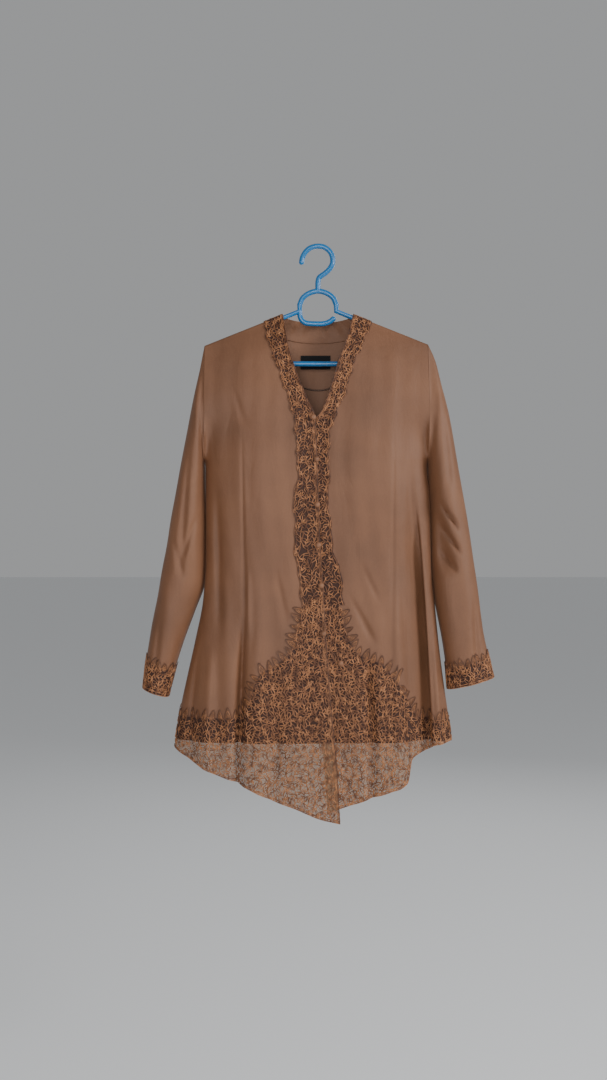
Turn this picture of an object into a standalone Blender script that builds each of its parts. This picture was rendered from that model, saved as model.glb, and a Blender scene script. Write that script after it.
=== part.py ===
"""A kebaya blouse of brown cloth and cord lace, hung on its plastic tube hanger.

Sizes are in millimetres and are turned to metres as each mesh is made. The origin
is the inner top of the hanger's hook. The front faces -Y, and the wearer's right is
at -X. Each cloth piece is a wall between a grid of inner points and the same points
moved out, so neighbours that share a seam end on the same line.
"""
import math

import bmesh
import bpy
import numpy as np
from mathutils import Vector
from mathutils.bvhtree import BVHTree

MM = 0.001
CLOTH = 1.2
LACE_GAP = 1.0
LACE = 1.2
LACE_RELIEF = 0.8
SEAM = 0.15
ARM_SLOPE = 0.40
ARM_START = 32.0
ARM_Z = -112.0
TUBE = 4.75
OVER_ARM = 5.5
UNDERARM_Z = -381.0
HEM_Z = -878.0
NECK_HALF = 63.0
COLLAR_HALF = 98.0

RIGHT, LEFT = "right", "left"
ARMHOLE_X = {RIGHT: -203.0, LEFT: 197.0}

# Free edge of each front, from the shoulder down over the neck to the hem.
EDGE = {
    RIGHT: (("z", "x", "depth"),
            (-118.9, -63, 0.15), (-119.8, -62.8, 3.3), (-121.9, -62.4, 5.2),
            (-125.5, -61.6, 6.6), (-140, -59, 13), (-173, -54, 24), (-227, -38, 33),
            (-272, -20, 39), (-308, -5, 42), (-400, -1, 46), (-533, 4, 45),
            (-605, 9, 46), (-688, 13, 50), (-812, 22, 57), (-920, 32, 60),
            (-1019, 38, 61)),
    LEFT: (("z", "x", "depth"),
           (-118.9, 63, 0.15), (-119.8, 62.8, 3.3), (-121.9, 62.4, 5.2),
           (-125.5, 61.6, 6.6), (-140, 58, 13), (-173, 48, 23), (-203, 36, 28),
           (-234, 27, 31), (-293, 7, 36), (-312, -8, 37), (-335, -18, 38),
           (-400, -21, 41), (-533, -18, 40), (-605, -13, 41), (-688, -9, 45),
           (-812, 0, 52), (-920, 10, 55), (-1019, 17, 56)),
}

# Side seams below the underarm.
FLANK = {
    RIGHT: (("z", "x"),
            (-381, -203), (-392, -201.6), (-560, -201.5), (-600, -203.5), (-632, -206),
            (-704, -220), (-776, -236), (-833, -248), (-878, -255), (-900, -257)),
    LEFT: (("z", "x"),
           (-381, 197), (-392, 195.6), (-452, 201.5), (-560, 203), (-632, 209),
           (-704, 216), (-735, 219.6), (-790, 226.8), (-833, 233), (-878, 238.5),
           (-900, 240)),
}

# Depth of the armhole curve before and behind the shoulder line.
ARMHOLE = (("drop", "front", "back"),
           (0, 0.15, 0.15), (0.9, 3.3, 3.3), (3, 5.2, 5.2), (6, 6.3, 6.3),
           (20, 10, 9.5), (60, 20, 17), (110, 28, 23), (160, 29, 24), (190, 22, 18),
           (203, 11, 9), (209, 0.15, 0.15))

# Lower edge of the sheer lace, by how far it lies from the free edge to the side.
LOWER = {
    RIGHT: (("share", "z"),
            (0, -1019), (0.125, -1010), (0.24, -995), (0.41, -976), (0.6, -949),
            (0.8, -926), (1, -893)),
    LEFT: (("share", "z"),
           (0, -1001), (0.12, -992), (0.3, -979), (0.5, -964), (0.61, -952),
           (0.645, -908), (0.77, -893), (0.88, -885), (1, -881)),
}

# How far the middle of each front stands out beyond the line from edge to side.
CROWN = (("z", "front"), (-150, 0), (-300, 7), (-420, 9), (-600, 5), (-800, 4), (-1000, 4))

# Folds of the two fronts and the back: a trough is positive, a ridge negative.
FOLD_COLUMNS = ("name", "x_top", "z_top", "x_low", "z_low", "left", "right",
                "depth", "shift", "held")
FOLDS = {
    RIGHT: (
        ("side trough", -180, -410, -172, -720, 9, 9, 6, 0, 0),
        ("dart seam", -135, -300, -128, -705, 4, 4, 2.2, 0, 0),
        ("dart flap", -124, -560, -122, -712, 5, 7, -3.5, 0, 0),
        ("deep fold under the dart", -130, -640, -139, -900, 10, 8, 15, 0, 1),
        ("ridge inside the dart", -104, -600, -108, -880, 16, 16, -4, 0, 1),
        ("hem flute near the side", -214, -700, -228, -885, 10, 10, 6, 0, 1),
        ("hem ridge", -188, -690, -196, -885, 12, 12, -4, 0, 1),
        ("waist crease", -78, -560, -52, -690, 8, 8, 3, 0, 0),
        ("bust crease", -150, -250, -128, -330, 8, 8, 2, 0, 0),
        ("lace flute", -66, -830, -86, -1000, 14, 14, 6, 0, 1),
    ),
    LEFT: (
        ("neck crease", 58, -200, 24, -320, 8, 8, 2.5, 0, 0),
        ("dart seam", 134, -310, 130, -700, 4, 4, 2.2, 0, 0),
        ("side trough", 163, -350, 165, -620, 11, 11, 6, 0, 0),
        ("deep pleat", 172, -540, 189, -900, 24, 9, 27, 17, 1),
        ("ridge beside the pleat", 136, -560, 140, -860, 9, 12, -5, 0, 1),
        ("waist crease", 49, -610, 104, -715, 7, 7, 4, 0, 0),
        ("upper waist crease", 74, -560, 110, -640, 7, 7, 3, 0, 0),
        ("lace trough", 88, -715, 94, -900, 10, 10, 9, 0, 1),
        ("outer ridge", 214, -640, 219, -880, 9, 9, -3, 0, 1),
    ),
    "back": (
        ("left of the spine", -48, -300, -40, -720, 12, 12, 5, 0, 0),
        ("right of the spine", 52, -330, 44, -720, 12, 12, 5, 0, 0),
        ("right dart", 120, -330, 116, -690, 4, 4, 2.2, 0, 0),
        ("left dart", -124, -330, -120, -690, 4, 4, 2.2, 0, 0),
        ("right flute", 118, -660, 128, -900, 14, 14, 14, 0, 1),
        ("left flute", -122, -660, -134, -900, 14, 14, 14, 0, 1),
        ("middle flute", 2, -700, 6, -900, 16, 16, 9, 0, 1),
        ("right side flute", 178, -640, 190, -900, 12, 12, 7, 0, 1),
        ("left side flute", -182, -640, -200, -900, 12, 12, 7, 0, 1),
        ("shoulder crease", -150, -230, -110, -330, 9, 9, 3, 0, 0),
    ),
}

# Sleeve sections from the armhole to the cuff: where the outer fold and the underarm
# line lie, and half the thickness before and behind.
SLEEVE = {
    RIGHT: (("ring", "x", "z", "under_x", "under_z", "front", "back"),
            (0, -203.3, -174.9, -203.3, -381, 29, 24),
            (1, -211, -213, -208.5, -396, 33, 29),
            (2, -221, -260, -208, -430, 37, 33),
            (3, -234, -328, -207, -468, 40, 36),
            (4, -247, -398, -206, -510, 42, 38),
            (5, -259, -466, -206, -552, 42, 38),
            (6, -273, -542, -208, -600, 40, 37),
            (7, -286, -616, -222, -650, 38, 35),
            (8, -300, -690, -244, -712, 36, 34),
            (9, -308, -738, -258, -757, 35, 33),
            (10, -313, -788, -270, -804, 34, 32)),
    LEFT: (("ring", "x", "z", "under_x", "under_z", "front", "back"),
           (0, 197.3, -172.5, 197.3, -381, 29, 24),
           (1, 212, -205, 201.5, -397, 32, 30),
           (2, 223, -250, 203, -430, 35, 34),
           (3, 238, -314, 205.5, -468, 37, 37),
           (4, 252, -394, 207, -512, 38, 39),
           (5, 264, -468, 208, -556, 37, 39),
           (6, 276, -548, 210.5, -608, 35, 38),
           (7, 287, -612, 217, -662, 33, 36),
           (8, 298, -692, 226, -716, 31, 34),
           (9, 306, -732, 231, -754, 30, 32),
           (10, 314, -770, 234, -791, 28, 31)),
}
SLEEVE_ANGLES = (0, 8, 16, 28, 44, 62, 82, 102, 122, 142, 160, 172, 180)

# Creases of the sleeves, on the front face and then on the back face.
CREASE_COLUMNS = FOLD_COLUMNS[:8] + ("face",)
CREASES = {
    RIGHT: (
        ("long front crease", -226, -330, -246, -620, 8, 8, 5, -1),
        ("inner elbow crease", -214, -470, -240, -560, 6, 6, 4, -1),
        ("outer elbow crease", -262, -500, -236, -600, 6, 6, 3, -1),
        ("back crease", -228, -350, -252, -640, 9, 9, 5, 1),
        ("cuff crease", -278, -650, -292, -780, 7, 7, 3, -1),
    ),
    LEFT: (
        ("upper elbow crease", 212, -450, 252, -512, 7, 7, 5, -1),
        ("middle elbow crease", 214, -490, 256, -552, 6, 6, 5, -1),
        ("lower elbow crease", 216, -535, 250, -585, 6, 6, 4, -1),
        ("long front crease", 222, -290, 234, -450, 8, 8, 4, -1),
        ("cuff crease", 276, -620, 284, -770, 8, 8, 5, -1),
        ("back crease", 226, -350, 254, -640, 9, 9, 5, 1),
    ),
}

# Upper edge of the hem lace on each front, by x.
LACE_TOP = {
    RIGHT: (("x", "z"), (-255, -838), (-141, -836), (-118, -812), (-104, -762),
            (-74, -742), (-50, -722), (-30, -652), (-26, -637.6), (40, -637.6)),
    LEFT: (("x", "z"), (0, -640), (43, -640), (60, -704), (78, -728), (112, -742),
           (136, -776), (148, -806), (160, -838), (239, -842)),
}

# Outer edge of the lace down each front edge.
BAND = {
    RIGHT: (("z", "x"), (-124, -98), (-173, -86), (-227, -68), (-286, -49), (-320, -42),
            (-403, -37), (-457, -43), (-553, -40), (-600, -33), (-637, -28)),
    LEFT: (("z", "x"), (-128, 94), (-147, 88), (-184, 73), (-217, 60), (-256, 50),
           (-297, 33), (-344, 20), (-452, 19), (-540, 28), (-596, 42), (-640, 46)),
}

BUTTONS = (("z", "x"), (-308, -9), (-382, -3), (-462, -2), (-533, 0), (-604, 5), (-688, 9))
LOW_BUTTON = (-740, 39)


def column(table, name):
    """One named column of a table as numbers."""
    place = table[0].index(name)
    return np.array([row[place] for row in table[1:]], float)


def along(table, name, at):
    """Read a column smoothly against the table's first column, without overshoot."""
    place = column(table, table[0][0])
    value = column(table, name)
    order = np.argsort(place)
    place, value = place[order], value[order]
    step = np.diff(place)
    rise = np.diff(value) / step
    slope = np.concatenate(([rise[0]], np.zeros(len(rise) - 1), [rise[-1]]))
    same = rise[:-1] * rise[1:] > 0
    total = np.where(same, rise[:-1] + rise[1:], 1)
    slope[1:-1] = np.where(same, 2 * rise[:-1] * rise[1:] / total, 0)
    at = np.clip(np.asarray(at, float), place[0], place[-1])
    part = np.clip(np.searchsorted(place, at, side="right") - 1, 0, len(step) - 1)
    width = step[part]
    share = (at - place[part]) / width
    back = 1 - share
    return (value[part] * (1 + 2 * share) * back ** 2
            + value[part + 1] * (1 + 2 * back) * share ** 2
            + width * share * back * (slope[part] * back - slope[part + 1] * share))


def ease(share):
    """Nought to one with level ends."""
    share = np.clip(share, 0, 1)
    return share * share * (3 - 2 * share)


def fold_push(rows, names, x, z):
    """Depth and sideways shift that the listed folds give at places on a panel."""
    depth = np.zeros(np.shape(x))
    shift = np.zeros(np.shape(x))
    for row in rows:
        fold = dict(zip(names, row))
        share = (fold["z_top"] - z) / (fold["z_top"] - fold["z_low"])
        inside = np.clip(share, 0, 1)
        middle = fold["x_top"] + (fold["x_low"] - fold["x_top"]) * inside
        spread = np.where(x < middle, fold["left"], fold["right"]) * (0.6 + 0.4 * inside)
        held = fold.get("held", 0)
        strength = ease(share / 0.45) * (1 - (1 - held) * ease((share - 0.7) / 0.3))
        across = strength * np.exp(-((x - middle) / spread) ** 2)
        depth += fold["depth"] * across
        shift += fold.get("shift", 0) * across
    return depth, shift


def shoulder_z(x):
    """Height of the cloth along the shoulder seams, over the hanger's arms."""
    return ARM_Z - ARM_SLOPE * (abs(x) - ARM_START) + OVER_ARM


def side_depth(face, drop, upper, share):
    """Depth that a panel takes from its armhole line, fading inwards near the underarm."""
    depth = along(ARMHOLE, face, np.clip(drop, 0, 209))
    faded = SEAM + (depth - SEAM) * (1 - ease((upper - 0.4) / 0.6))
    return np.where(upper < 1, faded + (depth - faded) * share ** 8, SEAM)


def front_face(side, level, share):
    """Inner face of a front panel.

    Level is 0 at the shoulder, 1 at the underarm, 2 at the cloth's hem and 3 at the
    lower edge of the lace. Share is 0 at the free edge and 1 at the side.
    """
    level, share = np.broadcast_arrays(np.asarray(level, float), np.asarray(share, float))
    upper = np.clip(level, 0, 1)
    body = np.clip(level - 1, 0, 1)
    skirt = np.clip(level - 2, 0, 1)
    tip = shoulder_z(ARMHOLE_X[side])
    neck = shoulder_z(NECK_HALF)
    z_in = neck + (UNDERARM_Z - neck) * upper + (HEM_Z - UNDERARM_Z) * body
    z_out = tip + (UNDERARM_Z - tip) * upper + (HEM_Z - UNDERARM_Z) * body
    z = z_in + (z_out - z_in) * share
    z = z + (along(LOWER[side], "z", share) - HEM_Z) * skirt
    z_edge = np.where(skirt > 0, z, z_in)
    drop = np.clip(tip - z_out, 0, 209)
    x_in = along(EDGE[side], "x", z_edge)
    x_out = np.where(level < 1, ARMHOLE_X[side],
                     along(FLANK[side], "x", np.where(skirt > 0, z, z_out)))
    x = x_in + (x_out - x_in) * share
    depth_in = along(EDGE[side], "depth", z_edge)
    depth_out = side_depth("front", drop, upper, share)
    squared = ease(upper) ** 2
    round_off = np.sqrt(np.clip(1 - share ** 4, 0, 1))
    body_shape = (1 - squared) * (1 - share ** 1.6) + squared * round_off
    depth = depth_out + (depth_in - depth_out) * body_shape
    depth = depth + along(CROWN, "front", z) * np.sin(math.pi * share) ** 2
    trough, shift = fold_push(FOLDS[side], FOLD_COLUMNS, x, z)
    free = ease((1 - share) / 0.09) * ease((share - 0.1) / 0.12)
    depth = depth - trough * free
    x = x + shift * free
    return np.stack([x, -depth, z], -1)


def neck_line(share):
    """Neck seam of the back, from one shoulder (share 0) round to the other (share 1)."""
    turn = math.pi * np.asarray(share, float)
    rise = np.sin(turn)
    drop = 33.1 * rise
    roll = np.sqrt(np.clip(OVER_ARM ** 2 - np.clip(OVER_ARM - drop, 0, None) ** 2, 0, None))
    y = SEAM + roll + 20.5 * rise ** 2
    return np.stack([-COLLAR_HALF * np.cos(turn), y, shoulder_z(COLLAR_HALF) - drop], -1)


def collar_top(share):
    """Upper edge of the back collar stand."""
    turn = math.pi * np.asarray(share, float)
    rise = np.sin(turn)
    drop = 11.1 * rise
    roll = np.sqrt(np.clip(OVER_ARM ** 2 - np.clip(OVER_ARM - drop, 0, None) ** 2, 0, None))
    y = SEAM + roll + 15 * rise ** 3
    return np.stack([-NECK_HALF * np.cos(turn), y, shoulder_z(NECK_HALF) - drop], -1)


def back_top(place):
    """Top line of the back: place runs 0..1 on one shoulder, 1..2 neck, 2..3 other."""
    place = np.asarray(place, float)
    first = ARMHOLE_X[RIGHT] + (-COLLAR_HALF - ARMHOLE_X[RIGHT]) * np.clip(place, 0, 1)
    last = COLLAR_HALF + (ARMHOLE_X[LEFT] - COLLAR_HALF) * np.clip(place - 2, 0, 1)
    x = np.where(place < 1, first, last)
    line = np.stack([x, np.full(x.shape, SEAM), shoulder_z(x)], -1)
    neck = neck_line(np.clip(place - 1, 0, 1))
    return np.where(((place >= 1) & (place <= 2))[..., None], neck, line)


def back_face(level, place):
    """Inner face of the back: level as on a front, place as in back_top."""
    level, place = np.broadcast_arrays(np.asarray(level, float), np.asarray(place, float))
    upper = np.clip(level, 0, 1)
    body = np.clip(level - 1, 0, 1)
    skirt = np.clip(level - 2, 0, 1)
    start = back_top(place)
    z_flat = UNDERARM_Z + (HEM_Z - UNDERARM_Z) * body - 8 * skirt
    z = np.where(level < 1, start[..., 2] + (UNDERARM_Z - start[..., 2]) * upper, z_flat)
    from_side = (start[..., 0] - ARMHOLE_X[RIGHT]) / (ARMHOLE_X[LEFT] - ARMHOLE_X[RIGHT])
    one = np.where(level < 1, ARMHOLE_X[RIGHT], along(FLANK[RIGHT], "x", z))
    other = np.where(level < 1, ARMHOLE_X[LEFT], along(FLANK[LEFT], "x", z))
    x = one + (other - one) * from_side
    share = abs(2 * from_side - 1)
    tip = np.where(from_side < 0.5, shoulder_z(ARMHOLE_X[RIGHT]), shoulder_z(ARMHOLE_X[LEFT]))
    drop = (tip - UNDERARM_Z) * upper
    depth_out = side_depth("back", drop, upper, share)
    middle = np.interp(-z, [166, 300, 420, 600, 760, 890], [26.5, 29, 31, 27, 32, 40])
    roll = np.sqrt(np.clip(OVER_ARM ** 2 - np.clip(OVER_ARM - drop, 0, None) ** 2, 0, None))
    near = np.clip(start[..., 1] / OVER_ARM, 0, 1)
    hang = start[..., 1] + roll * (1 - near)
    squared = ease(upper) ** 2
    round_off = np.sqrt(np.clip(1 - share ** 4, 0, 1))
    body_shape = (1 - squared) * (1 - share ** 1.6) + squared * round_off
    full = depth_out + (middle - depth_out) * body_shape
    blend = ease(upper / 0.45)
    depth = np.where(level < 1, hang + (full - hang) * blend, full)
    outer = share > 0.9999
    depth = np.where(outer, depth_out, depth)
    trough, _ = fold_push(FOLDS["back"], FOLD_COLUMNS, x, z)
    depth = depth - trough * ease((1 - share) / 0.12)
    return np.stack([x, depth, z], -1)


def sleeve_face(side, ring, angle):
    """Inner face of a sleeve: ring as in its table, angle 0 at the outer fold."""
    ring, angle = np.broadcast_arrays(np.asarray(ring, float), np.asarray(angle, float))
    table = SLEEVE[side]
    top = np.stack([along(table, "x", ring), along(table, "z", ring)], -1)
    under = np.stack([along(table, "under_x", ring), along(table, "under_z", ring)], -1)
    swing = (1 - np.cos(angle)) / 2
    flat = top + (under - top) * swing[..., None]
    ahead = np.sin(angle) > 0
    height = SLEEVE[side][1][2] - UNDERARM_Z
    drop = np.clip(height * swing, 0, 209)
    start = np.where(ahead, along(ARMHOLE, "front", drop), along(ARMHOLE, "back", drop))
    start = start * np.clip(abs(np.sin(angle)) / 0.02, 0, 1)
    wide = np.where(ahead, along(table, "front", ring), along(table, "back", ring))
    oval = wide * abs(np.sin(angle)) ** 0.9
    blend = ease(ring / 2)
    depth = start + (oval - start) * blend
    y = np.where(ahead, -depth, depth)
    for row in CREASES[side]:
        face = row[-1]
        push, _ = fold_push((row[:-1],), CREASE_COLUMNS[:-1], flat[..., 0], flat[..., 1])
        facing = np.clip(y * face / 12, 0, 1)
        y = y - face * push * facing
    return np.stack([flat[..., 0], y, flat[..., 1]], -1)


def unit(vectors):
    """Vectors brought to length one."""
    return vectors / np.linalg.norm(vectors, axis=-1, keepdims=True)


def grid_normals(points, towards, ring=False):
    """Unit normals of a grid of points, on the side that towards points to."""
    down = np.gradient(points, axis=0)
    if ring:
        across = (np.roll(points, -1, 1) - np.roll(points, 1, 1)) / 2
    else:
        across = np.gradient(points, axis=1)
    normal = unit(np.cross(down, across))
    if np.sum(normal * towards) < 0:
        normal = -normal
    return normal


def without(normal, axis):
    """The same normals turned into the plane of a seam."""
    normal = normal.copy()
    normal[..., axis] = 0
    return unit(normal)


def empty_scene():
    """Remove what the file opened with."""
    for item in list(bpy.data.objects):
        bpy.data.objects.remove(item, do_unlink=True)


def material(name, colour, roughness):
    """Plain material with the colour of one kind of stuff."""
    made = bpy.data.materials.new(name)
    made.use_nodes = True
    shader = made.node_tree.nodes["Principled BSDF"]
    shader.inputs["Base Color"].default_value = (*colour, 1)
    shader.inputs["Roughness"].default_value = roughness
    return made


empty_scene()
BLOUSE = bpy.data.collections.new("kebaya_blouse")
bpy.context.scene.collection.children.link(BLOUSE)
CLOTH_LOOK = material("brown_cloth", (0.205, 0.098, 0.052), 0.6)
LACE_LOOK = material("cord_lace", (0.36, 0.18, 0.075), 0.75)
BUTTON_LOOK = material("covered_button", (0.30, 0.16, 0.09), 0.6)
LABEL_LOOK = material("black_label", (0.01, 0.01, 0.012), 0.7)
HANGER_LOOK = material("blue_plastic", (0.02, 0.26, 0.62), 0.3)


def object_from(name, shape, look):
    """Give a finished bmesh its object, outward faces and material."""
    bmesh.ops.recalc_face_normals(shape, faces=shape.faces)
    bmesh.ops.triangulate(shape, faces=shape.faces)
    if shape.calc_volume(signed=True) < 0:
        bmesh.ops.reverse_faces(shape, faces=shape.faces)
    mesh = bpy.data.meshes.new(name)
    shape.to_mesh(mesh)
    shape.free()
    made = bpy.data.objects.new(name, mesh)
    mesh.materials.append(look)
    BLOUSE.objects.link(made)
    return made


def wall(name, inner, outer, cells, look, pierced=(), opening=0.62):
    """A closed wall: two faces to each cell, a rim at free edges, a tunnel if pierced."""
    inner = inner.reshape(-1, 3)
    outer = outer.reshape(-1, 3)
    used = sorted({point for cell in cells for point in cell})
    place = {point: index for index, point in enumerate(used)}
    lift = len(used)
    points = [inner[point] for point in used] + [outer[point] for point in used]
    faces = []
    sides = set()
    for cell in cells:
        low = [place[point] for point in cell]
        high = [point + lift for point in low]
        sides.update(zip(low, low[1:] + low[:1]))
        if cell not in pierced:
            faces += [high, low[::-1]]
            continue
        low_ring = []
        high_ring = []
        for ring, new in ((low, low_ring), (high, high_ring)):
            centre = sum(points[point] for point in ring) / len(ring)
            for point in ring:
                new.append(len(points))
                points.append(centre + (points[point] - centre) * opening)
        for here in range(len(low)):
            after = (here + 1) % len(low)
            faces.append([high[here], high[after], high_ring[after], high_ring[here]])
            faces.append([low[after], low[here], low_ring[here], low_ring[after]])
            faces.append([high_ring[here], high_ring[after], low_ring[after], low_ring[here]])
    faces += [[b, a, a + lift, b + lift] for a, b in sides if (b, a) not in sides]
    shape = bmesh.new()
    corners = [shape.verts.new(tuple(float(value) * MM for value in point))
               for point in points]
    for face in sorted(faces):
        shape.faces.new([corners[point] for point in face])
    return object_from(name, shape, look)


def grid_cells(rows, columns, ring=False):
    """Cells of a grid of points, closed round if it is a ring."""
    cells = []
    for row in range(rows - 1):
        for here in range(columns if ring else columns - 1):
            after = (here + 1) % columns
            cells.append((row * columns + here, row * columns + after,
                          (row + 1) * columns + after, (row + 1) * columns + here))
    return cells


def strip_cells(lines):
    """Cells between neighbouring lines of (key, point), matching them up by key."""
    cells = []
    for one, other in zip(lines, lines[1:]):
        here, there = 0, 0
        while here < len(one) - 1 or there < len(other) - 1:
            next_one = one[here + 1][0] if here < len(one) - 1 else math.inf
            next_other = other[there + 1][0] if there < len(other) - 1 else math.inf
            if abs(next_one - next_other) < 1e-6:
                cells.append((one[here][1], other[there][1],
                              other[there + 1][1], one[here + 1][1]))
                here += 1
                there += 1
            elif next_one < next_other:
                cells.append((one[here][1], other[there][1], one[here + 1][1]))
                here += 1
            else:
                cells.append((one[here][1], other[there][1], other[there + 1][1]))
                there += 1
    return cells


# Rows that every body panel shares: close over the hanger's arm, then wider.
LEVELS = np.concatenate(([0, 0.0044, 0.0146, 0.03, 0.08, 0.16, 0.27, 0.4, 0.54, 0.68, 0.8,
                          0.9, 0.96, 1], 1 + np.arange(1, 13) / 12))


def front_shares(count):
    """Columns of a front, closer together towards the side seam."""
    even = np.linspace(0, 1, count + 1)
    return 0.5 * even + 0.5 * np.sin(even * math.pi / 2)


def body_normals(points, levels, towards, ends):
    """Normals of a front or back, turned into each seam's plane along its edges."""
    normal = grid_normals(points, towards)
    normal[0] = without(normal[0], 1)
    for end in ends:
        above = levels < 0.9999
        below = levels > 1.0001
        normal[above, end] = without(normal[above, end], 0)
        normal[below, end] = without(normal[below, end], 1)
        normal[~above & ~below, end] = (0, 0, -1)
        normal[0, end] = (0, 0, 1)
    return normal


FRONT_COUNT = {RIGHT: 18, LEFT: 17}
FRONTS = {}
for side in (RIGHT, LEFT):
    shares = front_shares(FRONT_COUNT[side])
    sheer = 2 + np.arange(1, 10) / 9
    levels = np.concatenate((LEVELS, sheer))
    points = front_face(side, levels[:, None], shares[None])
    normals = body_normals(points, levels, np.array([0, -1, 0]), [-1])
    FRONTS[side] = (levels, shares, points, normals)
    rows = len(LEVELS)
    wall("front_" + side, points[:rows], points[:rows] + CLOTH * normals[:rows],
         grid_cells(rows, len(shares)), CLOTH_LOOK)

# The back and the collar stand share one run of columns, so their seam lines agree.
NECK_HALF_ROUND = (0, 0.012, 0.04, 0.09, 0.17, 0.27, 0.38, 0.5)
around = np.array(NECK_HALF_ROUND + tuple(1 - share for share in NECK_HALF_ROUND[-2::-1]))
NECK_COUNT = len(around) - 1
SHOULDER_COUNT = 6
first = 1 - front_shares(SHOULDER_COUNT)[::-1]
PLACES = np.concatenate((first[:-1], 1 + around,
                         2 + front_shares(SHOULDER_COUNT)[1:]))
NECK = slice(SHOULDER_COUNT, SHOULDER_COUNT + NECK_COUNT + 1)
BACK = back_face(LEVELS[:, None], PLACES[None])
back_normals = body_normals(BACK, LEVELS, np.array([0, 1, 0.3]), [0, -1])
COLLAR_ROWS = np.linspace(0, 1, 4)
low_edge, high_edge = neck_line(around), collar_top(around)
COLLAR = np.stack([low_edge + (high_edge - low_edge) * row for row in COLLAR_ROWS])
COLLAR[..., 1] += 2.5 * np.sin(math.pi * COLLAR_ROWS)[:, None] * np.sin(math.pi * around) ** 3
collar_normals = grid_normals(COLLAR, np.array([0, 1, 0.5]))
shared = unit(collar_normals[0] + back_normals[0, NECK])
collar_normals[0] = shared
for end in (0, -1):
    collar_normals[:, end] = without(collar_normals[:, end], 1)
back_normals[0, NECK] = collar_normals[0]
BACK_POINTS = BACK.copy()
BACK_POINTS[0, NECK] += 0.4 * unit(COLLAR[0] - COLLAR[1])
wall("back", BACK_POINTS, BACK_POINTS + CLOTH * back_normals,
     grid_cells(len(LEVELS), len(PLACES)), CLOTH_LOOK)
wall("collar", COLLAR, COLLAR + CLOTH * collar_normals,
     grid_cells(len(COLLAR_ROWS), NECK_COUNT + 1), CLOTH_LOOK)

SLEEVES = {}
half_turn = np.radians(SLEEVE_ANGLES)
angles = np.concatenate((half_turn, 2 * math.pi - half_turn[-2:0:-1]))
for side in (RIGHT, LEFT):
    rings = np.arange(0, 11)
    points = sleeve_face(side, rings[:, None], angles[None])
    centre = points.mean(axis=1, keepdims=True)
    normals = grid_normals(points, points - centre, ring=True)
    normals[0] = without(normals[0], 0)
    SLEEVES[side] = (points, normals)
    wall("sleeve_" + side, points, points + CLOTH * normals,
         grid_cells(len(rings), len(angles), ring=True), CLOTH_LOOK)


def raised(order, count):
    """Outer lift of each lace point, so that the cords stand up over a plain inside."""
    return LACE + LACE_RELIEF * ((order * 7 + count * 3) % 4 in (0, 1))


def lay(lines):
    """Cells and points of a lace wall over lines of (key, base point, normal)."""
    inner, outer, indexed = [], [], []
    for order, line in enumerate(lines):
        row = []
        for count, (key, base, normal) in enumerate(line):
            row.append((key, len(inner)))
            lift = raised(order, count)
            inner.append(base + (CLOTH + LACE_GAP) * normal)
            outer.append(base + (CLOTH + LACE_GAP + lift) * normal)
        indexed.append(row)
    cells = strip_cells(indexed)
    return indexed, cells, np.array(inner), np.array(outer)


def read_line(keys, points, normals, key):
    """Point and normal on one grid line between its own points."""
    at = np.clip(np.searchsorted(keys, key, side="right") - 1, 0, len(keys) - 2)
    share = (key - keys[at]) / (keys[at + 1] - keys[at])
    base = points[at] + (points[at + 1] - points[at]) * share
    return base, unit(normals[at] + (normals[at + 1] - normals[at]) * share)


# Lace bands down the two front edges, laid on their panels row by row.
for side in (RIGHT, LEFT):
    levels, shares, points, normals = FRONTS[side]
    stop = 1 + (637.0 + UNDERARM_Z) / (UNDERARM_Z - HEM_Z)
    own = [level for level in LEVELS if level < stop - 0.01]
    between = [(a + b) / 2 for a, b in zip(own, own[1:]) if b - a > 0.05]
    lines = []
    for order, level in enumerate(sorted(own + between + [stop])):
        at = int(np.clip(np.searchsorted(levels, level, side="right") - 1, 0, len(levels) - 2))
        share = (level - levels[at]) / (levels[at + 1] - levels[at])
        row = points[at] + (points[at + 1] - points[at]) * share
        row_normals = unit(normals[at] + (normals[at + 1] - normals[at]) * share)
        scallop = 0 if level < 0.02 else (2.5 if order % 2 else -1.5)
        edge_x = float(along(BAND[side], "x", row[2, 2])) + (scallop if side == LEFT
                                                             else -scallop)
        reach = float(np.interp(abs(edge_x - row[0, 0]), abs(row[:, 0] - row[0, 0]), shares))
        inside = [share for share in shares if 0.01 < share < reach - 0.012]
        lines.append([(key, *read_line(shares, row, row_normals, key))
                      for key in [0.004] + inside + [reach]])
    indexed, cells, inner, outer = lay(lines)
    wall("lace_band_" + side, inner, outer, cells, LACE_LOOK)


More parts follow.
